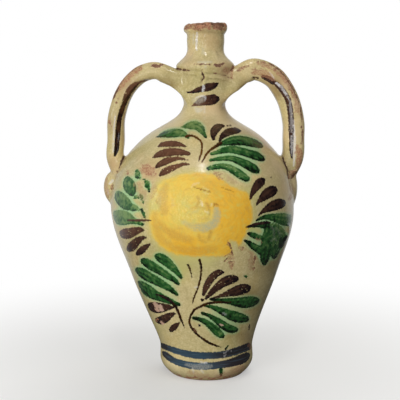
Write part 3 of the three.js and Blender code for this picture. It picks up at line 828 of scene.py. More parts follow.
# Two bands round the front of the foot
blueStrokes = [
    [(159.6, 343.4, 4), (162, 345.4, 5), (166, 347.2, 5.6), (172, 349.4, 5.8), (180, 352, 6.4), (190, 354.4, 6.8),
     (200, 355.6, 7), (210, 355.6, 7), (220, 355, 7), (230, 353, 7.4), (240, 349.8, 7.6), (248.2, 346.6, 7.4)],
    [(163, 352.2, 2.6), (165, 354, 5.4), (169, 357.6, 6.2), (174, 360.6, 6), (180, 362.9, 6.6), (190, 365.2, 7),
     (200, 366.2, 7.4), (210, 366, 7.4), (220, 364.9, 7.2), (230, 363, 8), (239, 360.2, 9.4), (244.4, 357.6, 9),
     (247.4, 355, 5.4)],
]

# Antimony yellow, washed on: soft edges, golden where it is thick
yellowPaint = {
    "plain": "#E6C456",
    "golden": "#EEB120",
    "washed": "#D0C566",
    "ochre": "#C08F45",
    "lemon": "#DECB5C",
    "pale": "#F0DFA0",
    "grey": "#B0AE8A",
    "scratch": "#86440F",
    # painted highlight: a whitish colour that stands in for the glints and reflections of the glaze
    "paintedHighlight": "#E6E4E2",
    "cloud": 14,
    "dabs": 0.45,
    "brush": 3.6,
    "middle": (-3, 0, 205),
    "wander": 1.6,  # of the edge, mm
    "softEdge": 2.1,
    "washedEdge": 4.0,  # so much softer where it is washed out
    "halo": 7.0,  # pale yellow round it, mm
    "roughness": 0.36,
}
# Marks by tone: scratched brown (-1), ochre (0), grey-green (1), painted highlight (2) and mixtures between them;
# strength, then the stroke. The whitish marks, tone 1.4 and up, are painted highlights and reflections of the glaze:
# glints on the neck, the collar and the throat strokes, along the straps' stripes, on the pads, in the flower, on the
# leaves and on the lower band
marksAndHighlights = [
    (1, 0.82, [(215.8, 207.4, 3.2), (216.4, 210, 5.4), (217, 215, 6.8), (215.6, 221, 7.8), (211, 225.4, 8.8),
               (203.6, 228, 9)]),
    (1, 0.66, [(204, 227.6, 8.6), (196, 227.4, 7.6)]),
    (1, 0.5, [(196, 227.4, 7), (189, 225, 5.6), (183, 221.4, 3)]),
    (-0.8, 0.6, [(213.6, 206.4, 1.8), (214.6, 204.2, 3.2), (217.2, 205, 2.6)]),
    (2, 0.25, [(211.8, 203.8, 1.2), (212, 205.6, 1.3)]),
    (0, 0.45, [(194.6, 174.6, 1.6), (199.6, 175.4, 2.2), (204, 177.4, 1.8)]),
    (2, 0.18, [(191.6, 187, 1.6), (193.6, 184.6, 2), (199, 182.8, 1.6), (206, 184, 1.4)]),
    (2, 0.2, [(203, 187, 1.2), (209, 189.6, 1.3)]),
    (2, 0.2, [(203.6, 192.6, 1.4), (208.6, 194, 1.8)]),
    (1, 0.35, [(192.6, 212.2, 2), (197.6, 210.8, 2.4)]),
    (0, 0.5, [(202, 219.2, 1.4), (208, 218.4, 1.8)]),
    (1.5, 0.12, [(171.4, 198, 2), (173, 203, 3), (171.6, 207.4, 2)]),
    (-1, 0.35, [(166.8, 195, 1.5), (167.4, 196.6, 1.5)]),
    (-1, 0.3, [(164.2, 209.4, 1.1), (168, 210.8, 1.5)]),
    (-1, 0.25, [(160.4, 214, 1.1), (163.4, 214.8, 1.3)]),
    (-1, 0.25, [(183, 220.4, 1.4), (184, 221.6, 1.6)]),
    (0, 0.5, [(178, 228.2, 1.5), (182.4, 228.8, 1.8)]),
    (-0.3, 0.55, [(210, 230.4, 2.8), (210.6, 233, 3.6), (208.6, 239, 2.6)]),
    (-0.4, 0.55, [(206, 203, 2.2), (208.6, 207, 3), (209.4, 214.6, 2)]),
    (-0.4, 0.5, [(197.6, 196.6, 2.2), (199.4, 201, 3), (196.4, 206, 2)]),
    (-0.3, 0.4, [(198.6, 235, 3.4), (200.6, 239.6, 3), (205.6, 242.6, 2.4)]),
    (0, 0.5, [(166, 186, 6), (162, 198, 10), (164, 212, 7)]),
    (0, 0.5, [(158, 222, 5), (166, 230, 7), (176, 235.6, 9), (190, 240, 6)]),
    (0, 0.4, [(154.6, 213, 4), (156, 224, 7), (161, 238, 8), (172, 246, 6)]),
    (-0.3, 0.35, [(190, 209, 2), (200, 207.4, 2.4), (206, 209, 2)]),
    (0, 0.25, [(203, 182, 8), (212, 186, 9), (216, 194, 5)]),
    (0, 0.4, [(174, 248, 7), (195, 251, 9), (214, 249, 6)]),
    (-1, 0.7, [(193, 186.4, 1.4), (200, 189, 1.8), (210.4, 192.4, 1.6)]),
    (-1, 0.5, [(222, 187.6, 1.2), (230, 190.4, 1.8), (234, 191.6, 1.2)]),
    (-1, 0.35, [(207.4, 182.6, 1.2), (214.6, 186.4, 1.6)]),
    (-1, 0.3, [(157, 221, 2.4), (159.4, 224, 2.4)]),
    (-1, 0.3, [(193, 250, 1.4), (201, 249, 1.2)]),
    (2, 0.35, [(200, 200.6, 1.8), (201.6, 203.4, 3), (202.4, 206, 2.4)]),
    (2, 0.3, [(205, 211.4, 2), (209, 213, 2.4)]),
    (-1, 0.4, [(156, 200.4, 2), (157.4, 203.4, 2)]),
    (1.5, 0.3, [(186, 364.6, 2), (194, 366.4, 4), (202, 367, 6), (211, 366.4, 3)]),
    (2, 0.6, [(200.6, 362.4, 1.4), (203, 362.8, 2), (206.4, 362.6, 1.2)]),
    (1.7, 0.5, [(192.2, 366, 1.4), (193, 370, 2), (193.6, 373, 1)]),
    (1.7, 0.5, [(201, 366.6, 1.6), (201.4, 370, 2.4), (203.6, 373, 1.2)]),
    (2, 0.3, [(223.8, 352, 0.8), (224.6, 357, 0.9), (226.8, 351, 0.8), (229.4, 349.6, 0.9), (231.6, 351.6, 0.8)]),
    (2, 0.75, [(276, 83, 1.8), (279, 85.2, 2.8)]),
    (2, 0.55, [(280.6, 86.4, 2.6), (283.4, 90, 3.2)]),
    (2, 0.7, [(285, 92, 2.8), (286.6, 94.6, 2.4)]),
    (2, 0.5, [(287.4, 96.4, 2), (288.8, 99.4, 1.4)]),
    (2, 0.65, [(293.4, 120, 1), (294.4, 132, 1.8), (294.6, 145, 2.6), (294.2, 158, 2.2), (293.6, 166, 1.6)]),
    (2, 0.4, [(291.4, 136, 2), (291.6, 146, 2.4), (292, 155, 1.4)]),
    (2, 0.5, [(269.6, 72.4, 1.2), (272, 75.4, 1.8), (274, 79, 1.4)]),
    (2, 0.3, [(289.6, 101, 2.4), (290.8, 110, 2.8), (291.2, 120, 2.8), (291.6, 132, 2.2)]),
    (2, 0.5, [(115.2, 116, 1), (114.2, 126, 1.6), (113.5, 140, 1.6), (113, 153, 1.2)]),
    (2, 0.5, [(109.6, 183.4, 2), (112.4, 180.4, 2.6)]),
    (2, 0.45, [(107.4, 190, 1.6), (108.6, 194, 1.8)]),
    (2, 0.4, [(195, 287.2, 2), (197, 286.8, 2)]),
    (2, 0.3, [(223.4, 313.4, 2.4), (226, 314.4, 2)]),
    (1.5, 0.22, [(271, 226.6, 1.4), (273.6, 230, 1.8), (274, 236, 1.4)]),
    (1.5, 0.22, [(276, 227.6, 1.2), (279, 231.6, 1.6), (280, 236, 1.2)]),
    (1.6, 0.25, [(271, 241, 1.2), (274.6, 238.4, 1.6), (276.6, 241, 1.2)]),
    (2, 0.75, [(203, 84.4, 1.2), (203.6, 88, 2.4), (203, 91.4, 1.6)]),
    (1.4, 0.4, [(193.6, 100, 3), (197, 101, 6), (201, 100, 6.4), (203.4, 98.6, 3)]),
    (2, 0.5, [(195.4, 98.4, 1.2), (199.4, 96.6, 2), (204.6, 96.6, 2.6), (204.8, 101, 1.2)]),
    (1.5, 0.5, [(195.6, 108.4, 3), (198.4, 110.6, 5), (202, 109, 3)]),
    (1.6, 0.4, [(204.4, 106.6, 1.6), (204.4, 112, 2)]),
    (2, 0.6, [(197, 32.6, 1.6), (196.8, 38, 2.2), (196.4, 45, 2), (196.6, 50, 1.4)]),
    (1.6, 0.35, [(193.4, 34, 1.2), (193.2, 44, 1.4)]),
    (1.4, 0.4, [(203, 48.6, 2), (203.4, 53, 3)]),
    (1.4, 0.4, [(205, 61.4, 2), (205.6, 67.4, 2)]),
    (1.6, 0.4, [(198, 62, 1.6), (204, 62.2, 2.4), (212, 61.8, 1.6)]),
]
flowerEdge = [(200, 172.5), (215, 175), (224, 181), (231, 186), (240, 190.5), (247, 193), (250, 199.4), (251.6, 207.4),
              (252.4, 215.4), (250.6, 223.4), (246.8, 230), (245.6, 235), (243, 239.6), (241.2, 243), (238.8, 246.2),
              (237, 243), (234.4, 241), (230.4, 240.8), (229.4, 243), (231, 248), (231.2, 252), (227.4, 255),
              (221, 255.9), (204, 256),
              (188, 256), (177, 254.3), (168, 251), (160.5, 246), (155.5, 240), (152, 233), (150, 222), (150, 212),
              (151.5, 202), (154, 194), (156.5, 187), (160.5, 182), (168, 178.6), (180, 175), (190, 173)]
# how golden and how washed out the yellow is: place, reach, golden, washed out
flowerWashes = [
    (205, 178, 13, 0.5, 0), (180, 182, 13, 0.3, 0.05), (163, 190, 10, 0.3, 0.45), (154, 201, 9, 0.3, 1),
    (170, 205, 9, 0.6, 0.15), (158, 226, 11, 0.4, 0.1), (168, 240, 11, 0.5, 0), (190, 204, 11, 0.1, 0.65),
    (193, 204, 5, 0.9, 0.1), (208, 205, 5, 1, 0), (184, 215, 11, 0.15, 0.55), (201, 213, 9, 0.2, 0.6),
    (200, 195, 8, 0.4, 0.25), (219, 190, 9, 0.85, 0), (235, 204, 13, 0.85, 0), (246, 218, 13, 0.95, 0),
    (230, 226, 11, 0.8, 0), (236, 240, 11, 0.85, 0), (224, 251, 11, 0.8, 0), (195, 251, 13, 1, 0),
    (177, 249, 11, 0.9, 0), (204, 236, 9, 0.55, 0.25), (188, 232, 8, 0.5, 0.2),
]

# Bare or pink places: faint (below 0), clay (0), black crack (1) or pale bisque (2), then the stroke. The dark strokes
# in the creases below the collar and where the straps' heels meet the body are painted shade, laid over pressed creases
wearAndShadeStrokes = [
    (-0.12, [(143.6, 168, 8), (148, 170, 11.4), (152.4, 171.4, 8)]),
    (-0.6, [(136, 184, 5), (140, 190, 9), (143, 197, 6)]),
    (-0.6, [(152, 183, 3), (154, 190, 5), (152, 197, 3)]),
    (1.4, [(154.6, 303.4, 3.2), (157.4, 306.6, 4.6)]),
    (1.7, [(160, 306, 3.2), (161.6, 309.6, 4.2)]),
    (1.3, [(155.6, 309, 2), (158.6, 310.8, 2.6)]),
    (0, [(156.4, 318.8, 1.4), (158.2, 320, 1.8)]),
    (1.3, [(161.2, 321.8, 2), (163, 323.4, 2.6)]),
    (1.8, [(219.8, 324.2, 1.4), (222.2, 325, 2)]),
    (0.1, [(128, 171, 2.4), (129, 174, 2.8)]),
    (-0.4, [(226.8, 241.8, 2), (227.8, 244.4, 1.8)]),
    (0.65, [(228.4, 242.6, 1), (230, 246, 1.6), (231.4, 249.4, 1.5), (232.8, 255, 1.1)]),
    (-0.35, [(226, 255.4, 2.4), (229.6, 254.4, 3), (232.8, 256.6, 2.4)]),
    (-0.35, [(227.6, 260.6, 2.8), (230, 257, 3.2)]),
    (-0.3, [(228.4, 262.6, 2.4), (230.4, 264.2, 3.4), (231.4, 267.4, 2.6)]),
    (-0.35, [(234, 257.4, 2.4), (234.6, 261, 3), (233.2, 263.6, 2)]),
    (0.6, [(224.6, 260.8, 1), (227.6, 258.6, 1.5), (228.8, 257.2, 1)]),
    (0.65, [(231, 257.8, 1.3), (232, 259.2, 1.3)]),
    (0.65, [(229, 261.2, 1), (231.4, 262.2, 1.5)]),
    (0.65, [(232.2, 265, 1.2), (233.6, 263.6, 1.3)]),
    (-0.5, [(251.8, 253, 3.4), (251.6, 260, 5), (250.4, 268, 4)]),
    (0.5, [(254.8, 255, 1.8), (254.6, 258.6, 2.6), (253.6, 262, 2)]),
    (0.7, [(253.8, 262.8, 1.6), (251.8, 264, 1.7), (250, 267, 1.1)]),
    (0.4, [(253.8, 265.4, 1.4), (254.2, 270.4, 1.6)]),
    (0.6, [(242, 248.8, 1.2), (243.4, 247.6, 1.3)]),
    (-0.35, [(215.5, 174, 3.4), (219, 176, 5), (222.4, 178.4, 3)]),
    (-0.65, [(228, 180, 4), (236, 183, 5)]),
    (-0.1, [(240.4, 247, 2.4), (242.8, 249, 2.6)]),
    (-0.35, [(257, 239.6, 2), (259.6, 241.2, 3), (260.6, 243, 2)]),
    (0.9, [(201.8, 70.5, 1.1), (203, 75, 1.5), (204, 77.4, 1.5), (202.4, 80, 1.6), (202, 82.8, 0.9)]),
    # painted shade: dark creases under the collar where the tongues meet it
    (0.75, [(175.5, 68, 1.4), (180, 69.4, 2.2), (184.6, 70, 1.8), (189, 70.6, 0.9)]),
    (0.5, [(224, 75, 0.9), (228, 77, 1.7), (232.5, 78.5, 1.7)]),
    (0.5, [(233.4, 66.4, 1.4), (231.6, 70, 2.2), (229.2, 73, 1.6)]),
    (-0.35, [(226, 70, 5), (229.6, 73, 5.6), (232.6, 77, 3)]),
    (0.55, [(225.6, 70.5, 1.4), (226.4, 70.5, 1.4)]),
    (0.5, [(214.4, 73.6, 1), (215.6, 73.4, 1)]),
    (0.6, [(193, 64, 0.7), (200, 64.3, 1.2), (209.5, 64.5, 0.8)]),
    (0.6, [(214, 64.8, 1.8), (218.6, 65.4, 3.4), (223.4, 63.4, 1.8)]),
    (0.4, [(194, 63.6, 1.4), (195.2, 63.8, 1.4)]),
    (0.5, [(152.4, 65.6, 1.6), (157.5, 65.6, 3), (163, 64.8, 1.4)]),
    (0.35, [(240.6, 69, 2.6), (244.6, 67.2, 3)]),
    (0.4, [(238.8, 70.6, 1.6), (240.6, 70.8, 1.6)]),
    (0.4, [(247.4, 65.6, 1.4), (249, 65.4, 1.4)]),
    (0.7, [(117.2, 171.7, 1.4), (118, 172, 1.4)]),
    (0.5, [(116.1, 176.6, 1.6), (116.8, 176.8, 1.6)]),
    (0.25, [(112, 185.4, 2.6), (112.8, 189, 2.8)]),
    (-0.4, [(106.4, 178, 4), (105, 187, 6), (108, 197, 4)]),
    # painted shade: dark crevices where the straps' heels meet the body
    (0.9, [(125.5, 154.5, 2), (123, 158.5, 3), (120.6, 164.6, 1.6), (119.2, 169.6, 0.8)]),
    (0.85, [(282.2, 156.4, 1.2), (284.6, 163, 2), (286.8, 169.6, 2.4), (288.5, 178, 2)]),
    (0.1, [(288.6, 177.5, 2.4), (291, 173.4, 4.4), (295, 170.6, 4), (298.6, 168, 2)]),
    # painted shade under the right heel's fold
    (0.75, [(291.6, 178.4, 1.4), (294, 174.8, 1.6), (298, 172.2, 1)]),
    (-0.5, [(290, 184, 3), (292, 192, 5), (290, 199, 3)]),
    (0.7, [(113.6, 98.4, 2), (115.4, 93, 2.8), (118.4, 88, 1.8)]),
    (0.3, [(119, 86, 2), (126, 76.5, 3.4), (134, 69.4, 3.6), (141, 66.2, 2)]),
    (-0.1, [(120, 89, 3), (126.6, 79.4, 4.6), (133.4, 72.4, 5), (141, 68, 3)]),
    (0.35, [(257, 60.8, 1.2), (264, 62.4, 2), (270, 65.4, 1.8)]),
    (0.6, [(268, 63, 1), (276, 68, 1.7), (284, 76, 2.3), (290, 84.6, 2), (296, 96, 1.7), (300.4, 109, 1.5),
           (302.4, 121, 1.2)]),
    (-0.2, [(259, 63.4, 3), (266, 64.4, 4.4), (271, 67, 3)]),
    (-0.15, [(278, 72, 4), (283, 77, 5), (287, 83, 3.4)]),
    (-0.25, [(254, 72.4, 5), (261, 73.6, 8), (267, 75, 8), (272, 79, 4)]),
    (0.3, [(256, 70, 2.4), (262, 71, 3), (268, 73.6, 2.4)]),
    (-0.3, [(295.6, 100, 4), (297.8, 107, 6), (297.6, 113, 4)]),
    (0.15, [(272, 66.6, 2), (280, 73.4, 3.4), (287, 82, 4), (292.6, 92, 3.4), (296.6, 102, 3)]),
    (0.5, [(301.8, 127, 1.7), (302.6, 136, 1.7), (302.2, 145, 1.5)]),
    (0, [(297.6, 148, 5), (299.4, 157, 7), (297.4, 167, 5)]),
    (0.5, [(117.8, 98.6, 1), (116.4, 102.6, 1.2)]),
    (0.2, [(109.6, 121.6, 2), (110.4, 124, 1.6)]),
    (0.6, [(212, 23.6, 3), (218, 23.6, 4), (223, 25.4, 3)]),
    (0.45, [(214, 25.6, 3), (218.6, 27.6, 5), (221.6, 29.6, 3)]),
    (0.5, [(196, 24.6, 2), (201, 24, 2.6), (206, 24.4, 2)]),
    (0.35, [(190, 25.4, 3), (195, 27, 5), (199, 29.4, 3)]),
    (0.35, [(203, 27, 2.6), (206.6, 26, 3)]),
    (0.4, [(185.6, 28, 2), (188.6, 27, 2.6)]),
    (-0.55, [(188, 372.6, 3), (197, 374.6, 4.4), (207, 376, 3)]),
    (-0.5, [(216, 376, 2.4), (230, 373, 4), (243, 367, 3.4)]),
    (-0.4, [(250.4, 345, 3), (250.8, 349, 3)]),
]

# Where the coat is warmer (+) or leafier (-), paler (+) or deeper (-): place, reach, warm, pale.
# Warmth is the glaze's own tone. Paleness is partly its tone and partly painted light. The deeper places are mostly
# painted
# shade: under the straps' webs and arches, below the collar and on the lower right of the body
glazeTintsAndShading = [
    (122, 84, 14, 0.7, -0.35), (150, 67, 12, 0.15, 0.15), (172, 76, 12, 0, -0.35), (165, 87, 9, 0, -1),
    (244, 88, 9, 0, -1), (250, 70, 11, 0.2, 0.1), (272, 86, 11, 0.4, -0.35), (284, 68, 9, 0.7, -0.4),
    (110, 122, 14, 0.4, -0.25), (124, 118, 8, 0.35, -0.35), (111, 165, 9, 0.5, -0.2), (296, 132, 14, 0.5, 0.3),
    (298, 103, 8, 0.6, 0.5), (291, 190, 12, 0.4, -0.1), (205, 112, 14, 0.5, 0.15), (230, 112, 12, 0.9, 0.2),
    (165, 125, 14, 0.1, 0.3), (196, 160, 12, 0.3, 0.4), (262, 138, 14, 0.7, -0.1), (276, 168, 13, 0.5, 0.3),
    (150, 172, 14, 0.5, -0.1), (128, 196, 12, -0.6, 0), (140, 210, 12, 0.2, -0.05), (175, 258, 14, -0.9, 0.25),
    (205, 255, 14, -0.8, 0.3), (225, 240, 12, -0.2, 0.3), (175, 268, 12, -0.7, 0.1), (208, 292, 14, -0.2, 0.5),
    (170, 306, 12, 0.1, 0.4), (210, 318, 13, -0.3, 0.35), (150, 330, 12, -0.5, 0.2), (232, 330, 12, -0.3, -0.4),
    (247, 300, 14, -0.1, -0.5), (268, 262, 14, 0, -0.55), (248, 338, 9, 0.3, -0.3), (172, 368, 11, 0.1, 0.5),
    (195, 371, 12, 0.3, 0.4), (222, 372, 10, 0.6, 0.4), (240, 368, 9, 0.6, 0.1), (208, 28, 14, 0.4, -0.2),
    (214, 46, 10, 0.3, -0.1), (188, 60, 10, 0.6, 0.25), (205, 58, 9, 0, 0.1), (222, 58, 7, 0.3, 0.5),
    (226, 70, 9, 0.7, -0.1), (205, 76, 10, -0.1, 0), (235, 122, 11, 0.4, 0.6), (218, 121, 9, 0.3, 0.5),
    (252, 140, 9, 0.2, 0.4), (182, 117, 10, 0.2, 0.55), (150, 136, 11, 0, 0.5), (196, 71, 8, -0.2, -0.3),
    (214, 71, 8, -0.1, -0.35), (276, 91, 8, 0.3, -0.8), (124, 136, 8, 0.3, -0.25), (293, 188, 9, 0.4, 0.7),
    (133, 205, 6, -1, 0), (139, 210, 6, -1, 0.1), (160, 262, 12, -0.6, 0), (289, 84, 7, 0.8, 0.3),
    (200, 359, 8, 0, -0.25), (253, 192, 9, -0.5, 0.1), (262, 228, 8, -0.7, 0.2), (252, 230, 5, -1, 0.1),
    (285, 205, 12, 0.1, 0.3),
]


def linesOf(strokes):
    return [(*stroke[:-1], layStroke(stroke[-1])) for stroke in strokes]


def emptyLayer(skin):
    return np.tile([sight["far"], 0, 0], (len(skin["points"]), 1))


# hairs of the brush across a stroke, their slant, their change from stroke to stroke, and patches along it; the rim
# (mm from the edge) where paint piles up
brush = {"hairs": 8.5, "slant": 2.5, "change": 1.9, "patches": 5, "rim": (-2.4, -0.3)}


def paintLeaves(skin, strokes, paint):
    # gap, thickness of the paint (more where it ran to the lower edge and the rim, in streaks of the brush), wear
    layer = emptyLayer(skin)
    for i, (start, end, worn, spine) in enumerate(strokes):
        near, reach = strokeReach(skin, spine, margin=10)
        along, side = reach["along"], reach["side"]
        thick = start + (end - start) * along + paint["pooling"] * reach["drop"]
        thick = thick + paint["rim"] * (smoothStep(reach["gap"], *brush["rim"]) - 1 + (2 * along - 1) ** 2)
        hairs = np.sin(brush["hairs"] * side + brush["change"] * i + brush["slant"] * along)
        hairs = hairs * np.cos(brush["patches"] * along + i)
        thick = thick + paint["brushed"] * hairs
        lay(layer, near, reach["gap"], np.clip(thick, 0, 1), worn)
    return layer


def paintFlower(skin):
    u, v = skin["u"], skin["v"]
    edge = np.array(flowerEdge, float)
    edge = smoothLine(np.vstack([edge, edge[:1]]), 4)
    nearest, crossings = np.full(len(u), sight["far"]), np.zeros(len(u), int)
    for (ua, va), (ub, vb) in zip(edge, edge[1:]):
        t = np.clip(((u - ua) * (ub - ua) + (v - va) * (vb - va)) / ((ub - ua) ** 2 + (vb - va) ** 2), 0, 1)
        nearest = np.minimum(nearest, np.hypot(u - ua - t * (ub - ua), v - va - t * (vb - va)))
        over = (va > v) != (vb > v)
        crossings += over & (u < ua + (v - va) / (vb - va if vb != va else 1e-9) * (ub - ua))
    gap = np.where(crossings % 2 == 1, -nearest, nearest) * skin["depth"] / focal
    gap = np.where(skin["turned"] > 0, gap, sight["far"])
    weight, golden, washed = 1e-6, 0, 0
    for spotU, spotV, reach, gold, wash in flowerWashes:
        here = np.exp(-((u - spotU) ** 2 + (v - spotV) ** 2) / reach ** 2)
        weight, golden, washed = weight + here, golden + here * gold, washed + here * wash
    return np.column_stack([gap, golden / weight, washed / weight])


def paintMarks(skin, strokes):
    layer = emptyLayer(skin)
    for tone, strength, spine in strokes:
        near, reach = strokeReach(skin, spine, margin=6)
        lay(layer, near, reach["gap"], tone, strength)
    return layer


def paintBands(skin, strokes):
    # gap, how navy, and -1 because no band is worn off
    layer = emptyLayer(skin)
    for spine in strokes:
        near, reach = strokeReach(skin, spine, margin=6)
        along = reach["along"]
        navy = np.maximum(smoothStep(along, *bluePaint["navyRight"]), smoothStep(along, *bluePaint["navyLeft"]))
        lay(layer, near, reach["gap"], navy, -1)
    return layer


def paintTintsAndShading(skin, strokes):
    # warm (+) or leafy (-), pale (+) or deep (-), the pale partly painted light and the deep mostly painted shade, and
    # how much copper bled from the green strokes near by
    weight, warm, pale = 0, 0, 0
    bled = np.zeros(len(skin["points"]))
    for stroke in strokes:
        near, reach = strokeReach(skin, stroke[-1], margin=10)
        bled[near] += np.clip(1 - reach["gap"] / greenPaint["bleed"], 0, 1) * np.clip(reach["half"] / 3, 0, 1)
    for spotU, spotV, reach, warmth, paleAndShaded in glazeTintsAndShading:
        here = np.exp(-((skin["u"] - spotU) ** 2 + (skin["v"] - spotV) ** 2) / reach ** 2)
        weight, warm, pale = weight + here, warm + here * warmth, pale + here * paleAndShaded
    weight = np.maximum(weight, 1)
    return np.column_stack([warm / weight, pale / weight, bled])


# where carrying, pouring and setting down rub the glaze through: how much, then between which heights, radii
# and facings
rubbing = {
    "lip": 0.57,
    "lipHeights": (408.5, 413),
    "collar": 0.3,
    "collarRadii": (31.5, 34),
    "collarHeights": (376, 370),
    "footEdge": 0.52,
    "footHeights": (15, 3),
    "footRadii": (40, 46),
    "underHeights": (0.6, 0.1),
    "underFacing": (-0.6, -0.95),
    "arch": 0.5,
    "archHeights": (285, 330),
    "archOut": (45, 75),
    "archFacing": (0.55, 1),
    "archPatches": 0.16,
    "heel": 0.25,
    "heelHeights": (275, 250),
    "heelFacing": (0.3, 0.9),
}


def rubOf(piece, skin):
    (x, y, z), (outX, _, outZ) = skin["points"].T, skin["normals"].T
    radius = np.hypot(x, y)
    if piece == neckPiece:
        lip = rubbing["lip"] * smoothStep(z, *rubbing["lipHeights"])
        ridge = smoothStep(radius, *rubbing["collarRadii"]) * smoothStep(z, *rubbing["collarHeights"])
        return np.maximum(lip, rubbing["collar"] * ridge)
    if piece == bodyPiece:
        edge = smoothStep(z, *rubbing["footHeights"]) * smoothStep(radius, *rubbing["footRadii"])
        underside = smoothStep(z, *rubbing["underHeights"]) * smoothStep(outZ, *rubbing["underFacing"])
        return np.maximum(rubbing["footEdge"] * edge, underside)
    facing = np.sign(x) * outX + 0.5 * outZ
    patchy = np.sin(z / 7 + y / 5) * np.sin(z / 4.1 - y / 8)
    arch = smoothStep(z, *rubbing["archHeights"]) * smoothStep(np.abs(x), *rubbing["archOut"])
    arch = arch * (1 - rubbing["archPatches"] + rubbing["archPatches"] * patchy)
    arch = rubbing["arch"] * smoothStep(facing, *rubbing["archFacing"]) * arch
    heel = rubbing["heel"] * smoothStep(z, *rubbing["heelHeights"])
    return np.maximum(arch, heel * smoothStep(facing, *rubbing["heelFacing"]))


def keepLayer(piece, name, layer):
    attribute = piece.data.attributes.new(name, "FLOAT_VECTOR", "POINT")
    attribute.data.foreach_set("vector", np.ascontiguousarray(layer, dtype=np.float32).ravel())


browns, greens, marks = linesOf(brownStrokes), linesOf(greenStrokes), linesOf(marksAndHighlights)
worn = linesOf([(dark, 1, points) for dark, points in wearAndShadeStrokes])
for piece in pieces:
    skin = readSkin(piece)
    keepLayer(piece, "tintsAndShading", paintTintsAndShading(skin, greens if piece == bodyPiece else []))
    keepLayer(piece, "marks", paintMarks(skin, marks))
    keepLayer(piece, "brown", paintLeaves(skin, browns, brownPaint))
    bare = paintMarks(skin, worn)
    bare[:, 2] = rubOf(piece, skin)
    keepLayer(piece, "wearAndShade", bare)
    if piece == bodyPiece:
        keepLayer(piece, "green", paintLeaves(skin, greens, greenPaint))
        keepLayer(piece, "flower", paintFlower(skin))
        keepLayer(piece, "blue", paintBands(skin, [layStroke(points) for points in blueStrokes]))
print("painted:", len(browns), "brown,", len(greens), "green and", len(blueStrokes), "blue strokes, one flower")

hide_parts("foot", "foot_slip", "lower_wall", "belly_slip", "shoulder_wall", "throat_slip")
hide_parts("neck_tube", "collar_coil", "lip_coil")
for piece, word in ((leftPiece, "left"), (rightPiece, "right")):
    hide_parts(*[f"{word}_{part}" for part in ("handle", "root_slip", "heel_slip", "heel_pad")])

# Studio
studio = {
    "floor": "#EDECE8",
    "bounce": "#4C4C4A",
    "ambient": 0.26,
    "front": 0.03,
    "behind": 0.6,
    "white": (-0.45, 1, -0.6),
    "wallFade": (-0.1, 0.75),  # the mirrored studio goes from dim to white between these
    "floorFade": (0.15, 0.6),  # and so does the mirrored floor, m behind the jug
    "shadow": (0.1, 0.6),  # the floor keeps the jug's shadow near it and fades to white further out (m)
    "shadowGlow": 0.35,
    "floorHalf": 4,
    "aim": 0.21,
    # watts, breadth and height (m), degrees round from the front and up, distance (m), mirrored in the glaze
    "lamps": {
        "key": (29, (1.3, 0.5), -27, 2, 2.0, False),
        "fill": (6.4, (1.2, 1.2), 50, 45, 2.0, False),
        "back": (16, (1.4, 1.0), 160, 50, 2.0, False),
        "strip": (2.6, (0.14, 0.5), -2.4, 60, 1.6, True),
        "front_strip": (0.6, (0.1, 0.28), -3, 4.5, 1.6, True),
        "side_strip": (1.7, (0.34, 0.16), -56, 10.4, 1.6, True),
    },
}


def linear(hexColour):
    parts = [int(hexColour[i:i + 2], 16) / 255 for i in (1, 3, 5)]
    return tuple(c / 12.92 if c <= 0.04045 else ((c + 0.055) / 1.055) ** 2.4 for c in parts) + (1,)


def addNode(tree, kind, inputs=None, **settings):
    node = tree.nodes.new("ShaderNode" + kind)
    for name, value in settings.items():
        setattr(node, name, value)
    for name, value in (inputs or {}).items():
        if isinstance(value, bpy.types.NodeSocket):
            tree.links.new(value, node.inputs[name])
        else:
            node.inputs[name].default_value = value
    return node


def addLamp(name, power, size, azimuth, elevation, away, mirrored):
    lamp = bpy.data.lights.new(name, "AREA")
    lamp.energy = power
    lamp.shape = "RECTANGLE"
    lamp.size, lamp.size_y = size
    lampObject = bpy.data.objects.new(name, lamp)
    a, e = math.radians(azimuth), math.radians(elevation)
    aim = Vector((0, 0, studio["aim"]))
    lampObject.location = aim + away * Vector((math.sin(a) * math.cos(e), -math.cos(a) * math.cos(e), math.sin(e)))
    lampObject.rotation_euler = (aim - lampObject.location).to_track_quat("-Z", "Y").to_euler()
    lampObject.visible_glossy = mirrored
    scene.collection.objects.link(lampObject)


for name, lamp in studio["lamps"].items():
    addLamp(name, *lamp)

world = bpy.data.worlds.new("studio")
scene.world = world
world.use_nodes = True
tree = world.node_tree
tree.nodes.clear()
path = addNode(tree, "LightPath")
mirror = addNode(tree, "Math", {0: path.outputs["Is Glossy Ray"], 1: path.outputs["Is Transmission Ray"]},
                 operation="MAXIMUM")
# mirrored in the glaze, the studio is white behind the jug, more so on its left, and dim in front of it
direction = addNode(tree, "TexCoord")
back = addNode(tree, "VectorMath", {0: direction.outputs["Generated"], 1: studio["white"]}, operation="DOT_PRODUCT")
behind = addNode(tree, "MapRange", {"Value": back.outputs["Value"], "From Min": studio["wallFade"][0],
                                    "From Max": studio["wallFade"][1],
                                    "To Min": studio["front"], "To Max": studio["behind"]},
                 interpolation_type="SMOOTHSTEP")
dim = addNode(tree, "Mix", {0: mirror.outputs[0], 2: studio["ambient"], 3: behind.outputs[0]})
strength = addNode(tree, "Mix", {0: path.outputs["Is Camera Ray"], 2: dim.outputs[0], 3: 1.0})
sky = addNode(tree, "Background", {"Color": (1, 1, 1, 1), "Strength": strength.outputs[0]})
addNode(tree, "OutputWorld", {"Surface": sky.outputs[0]})

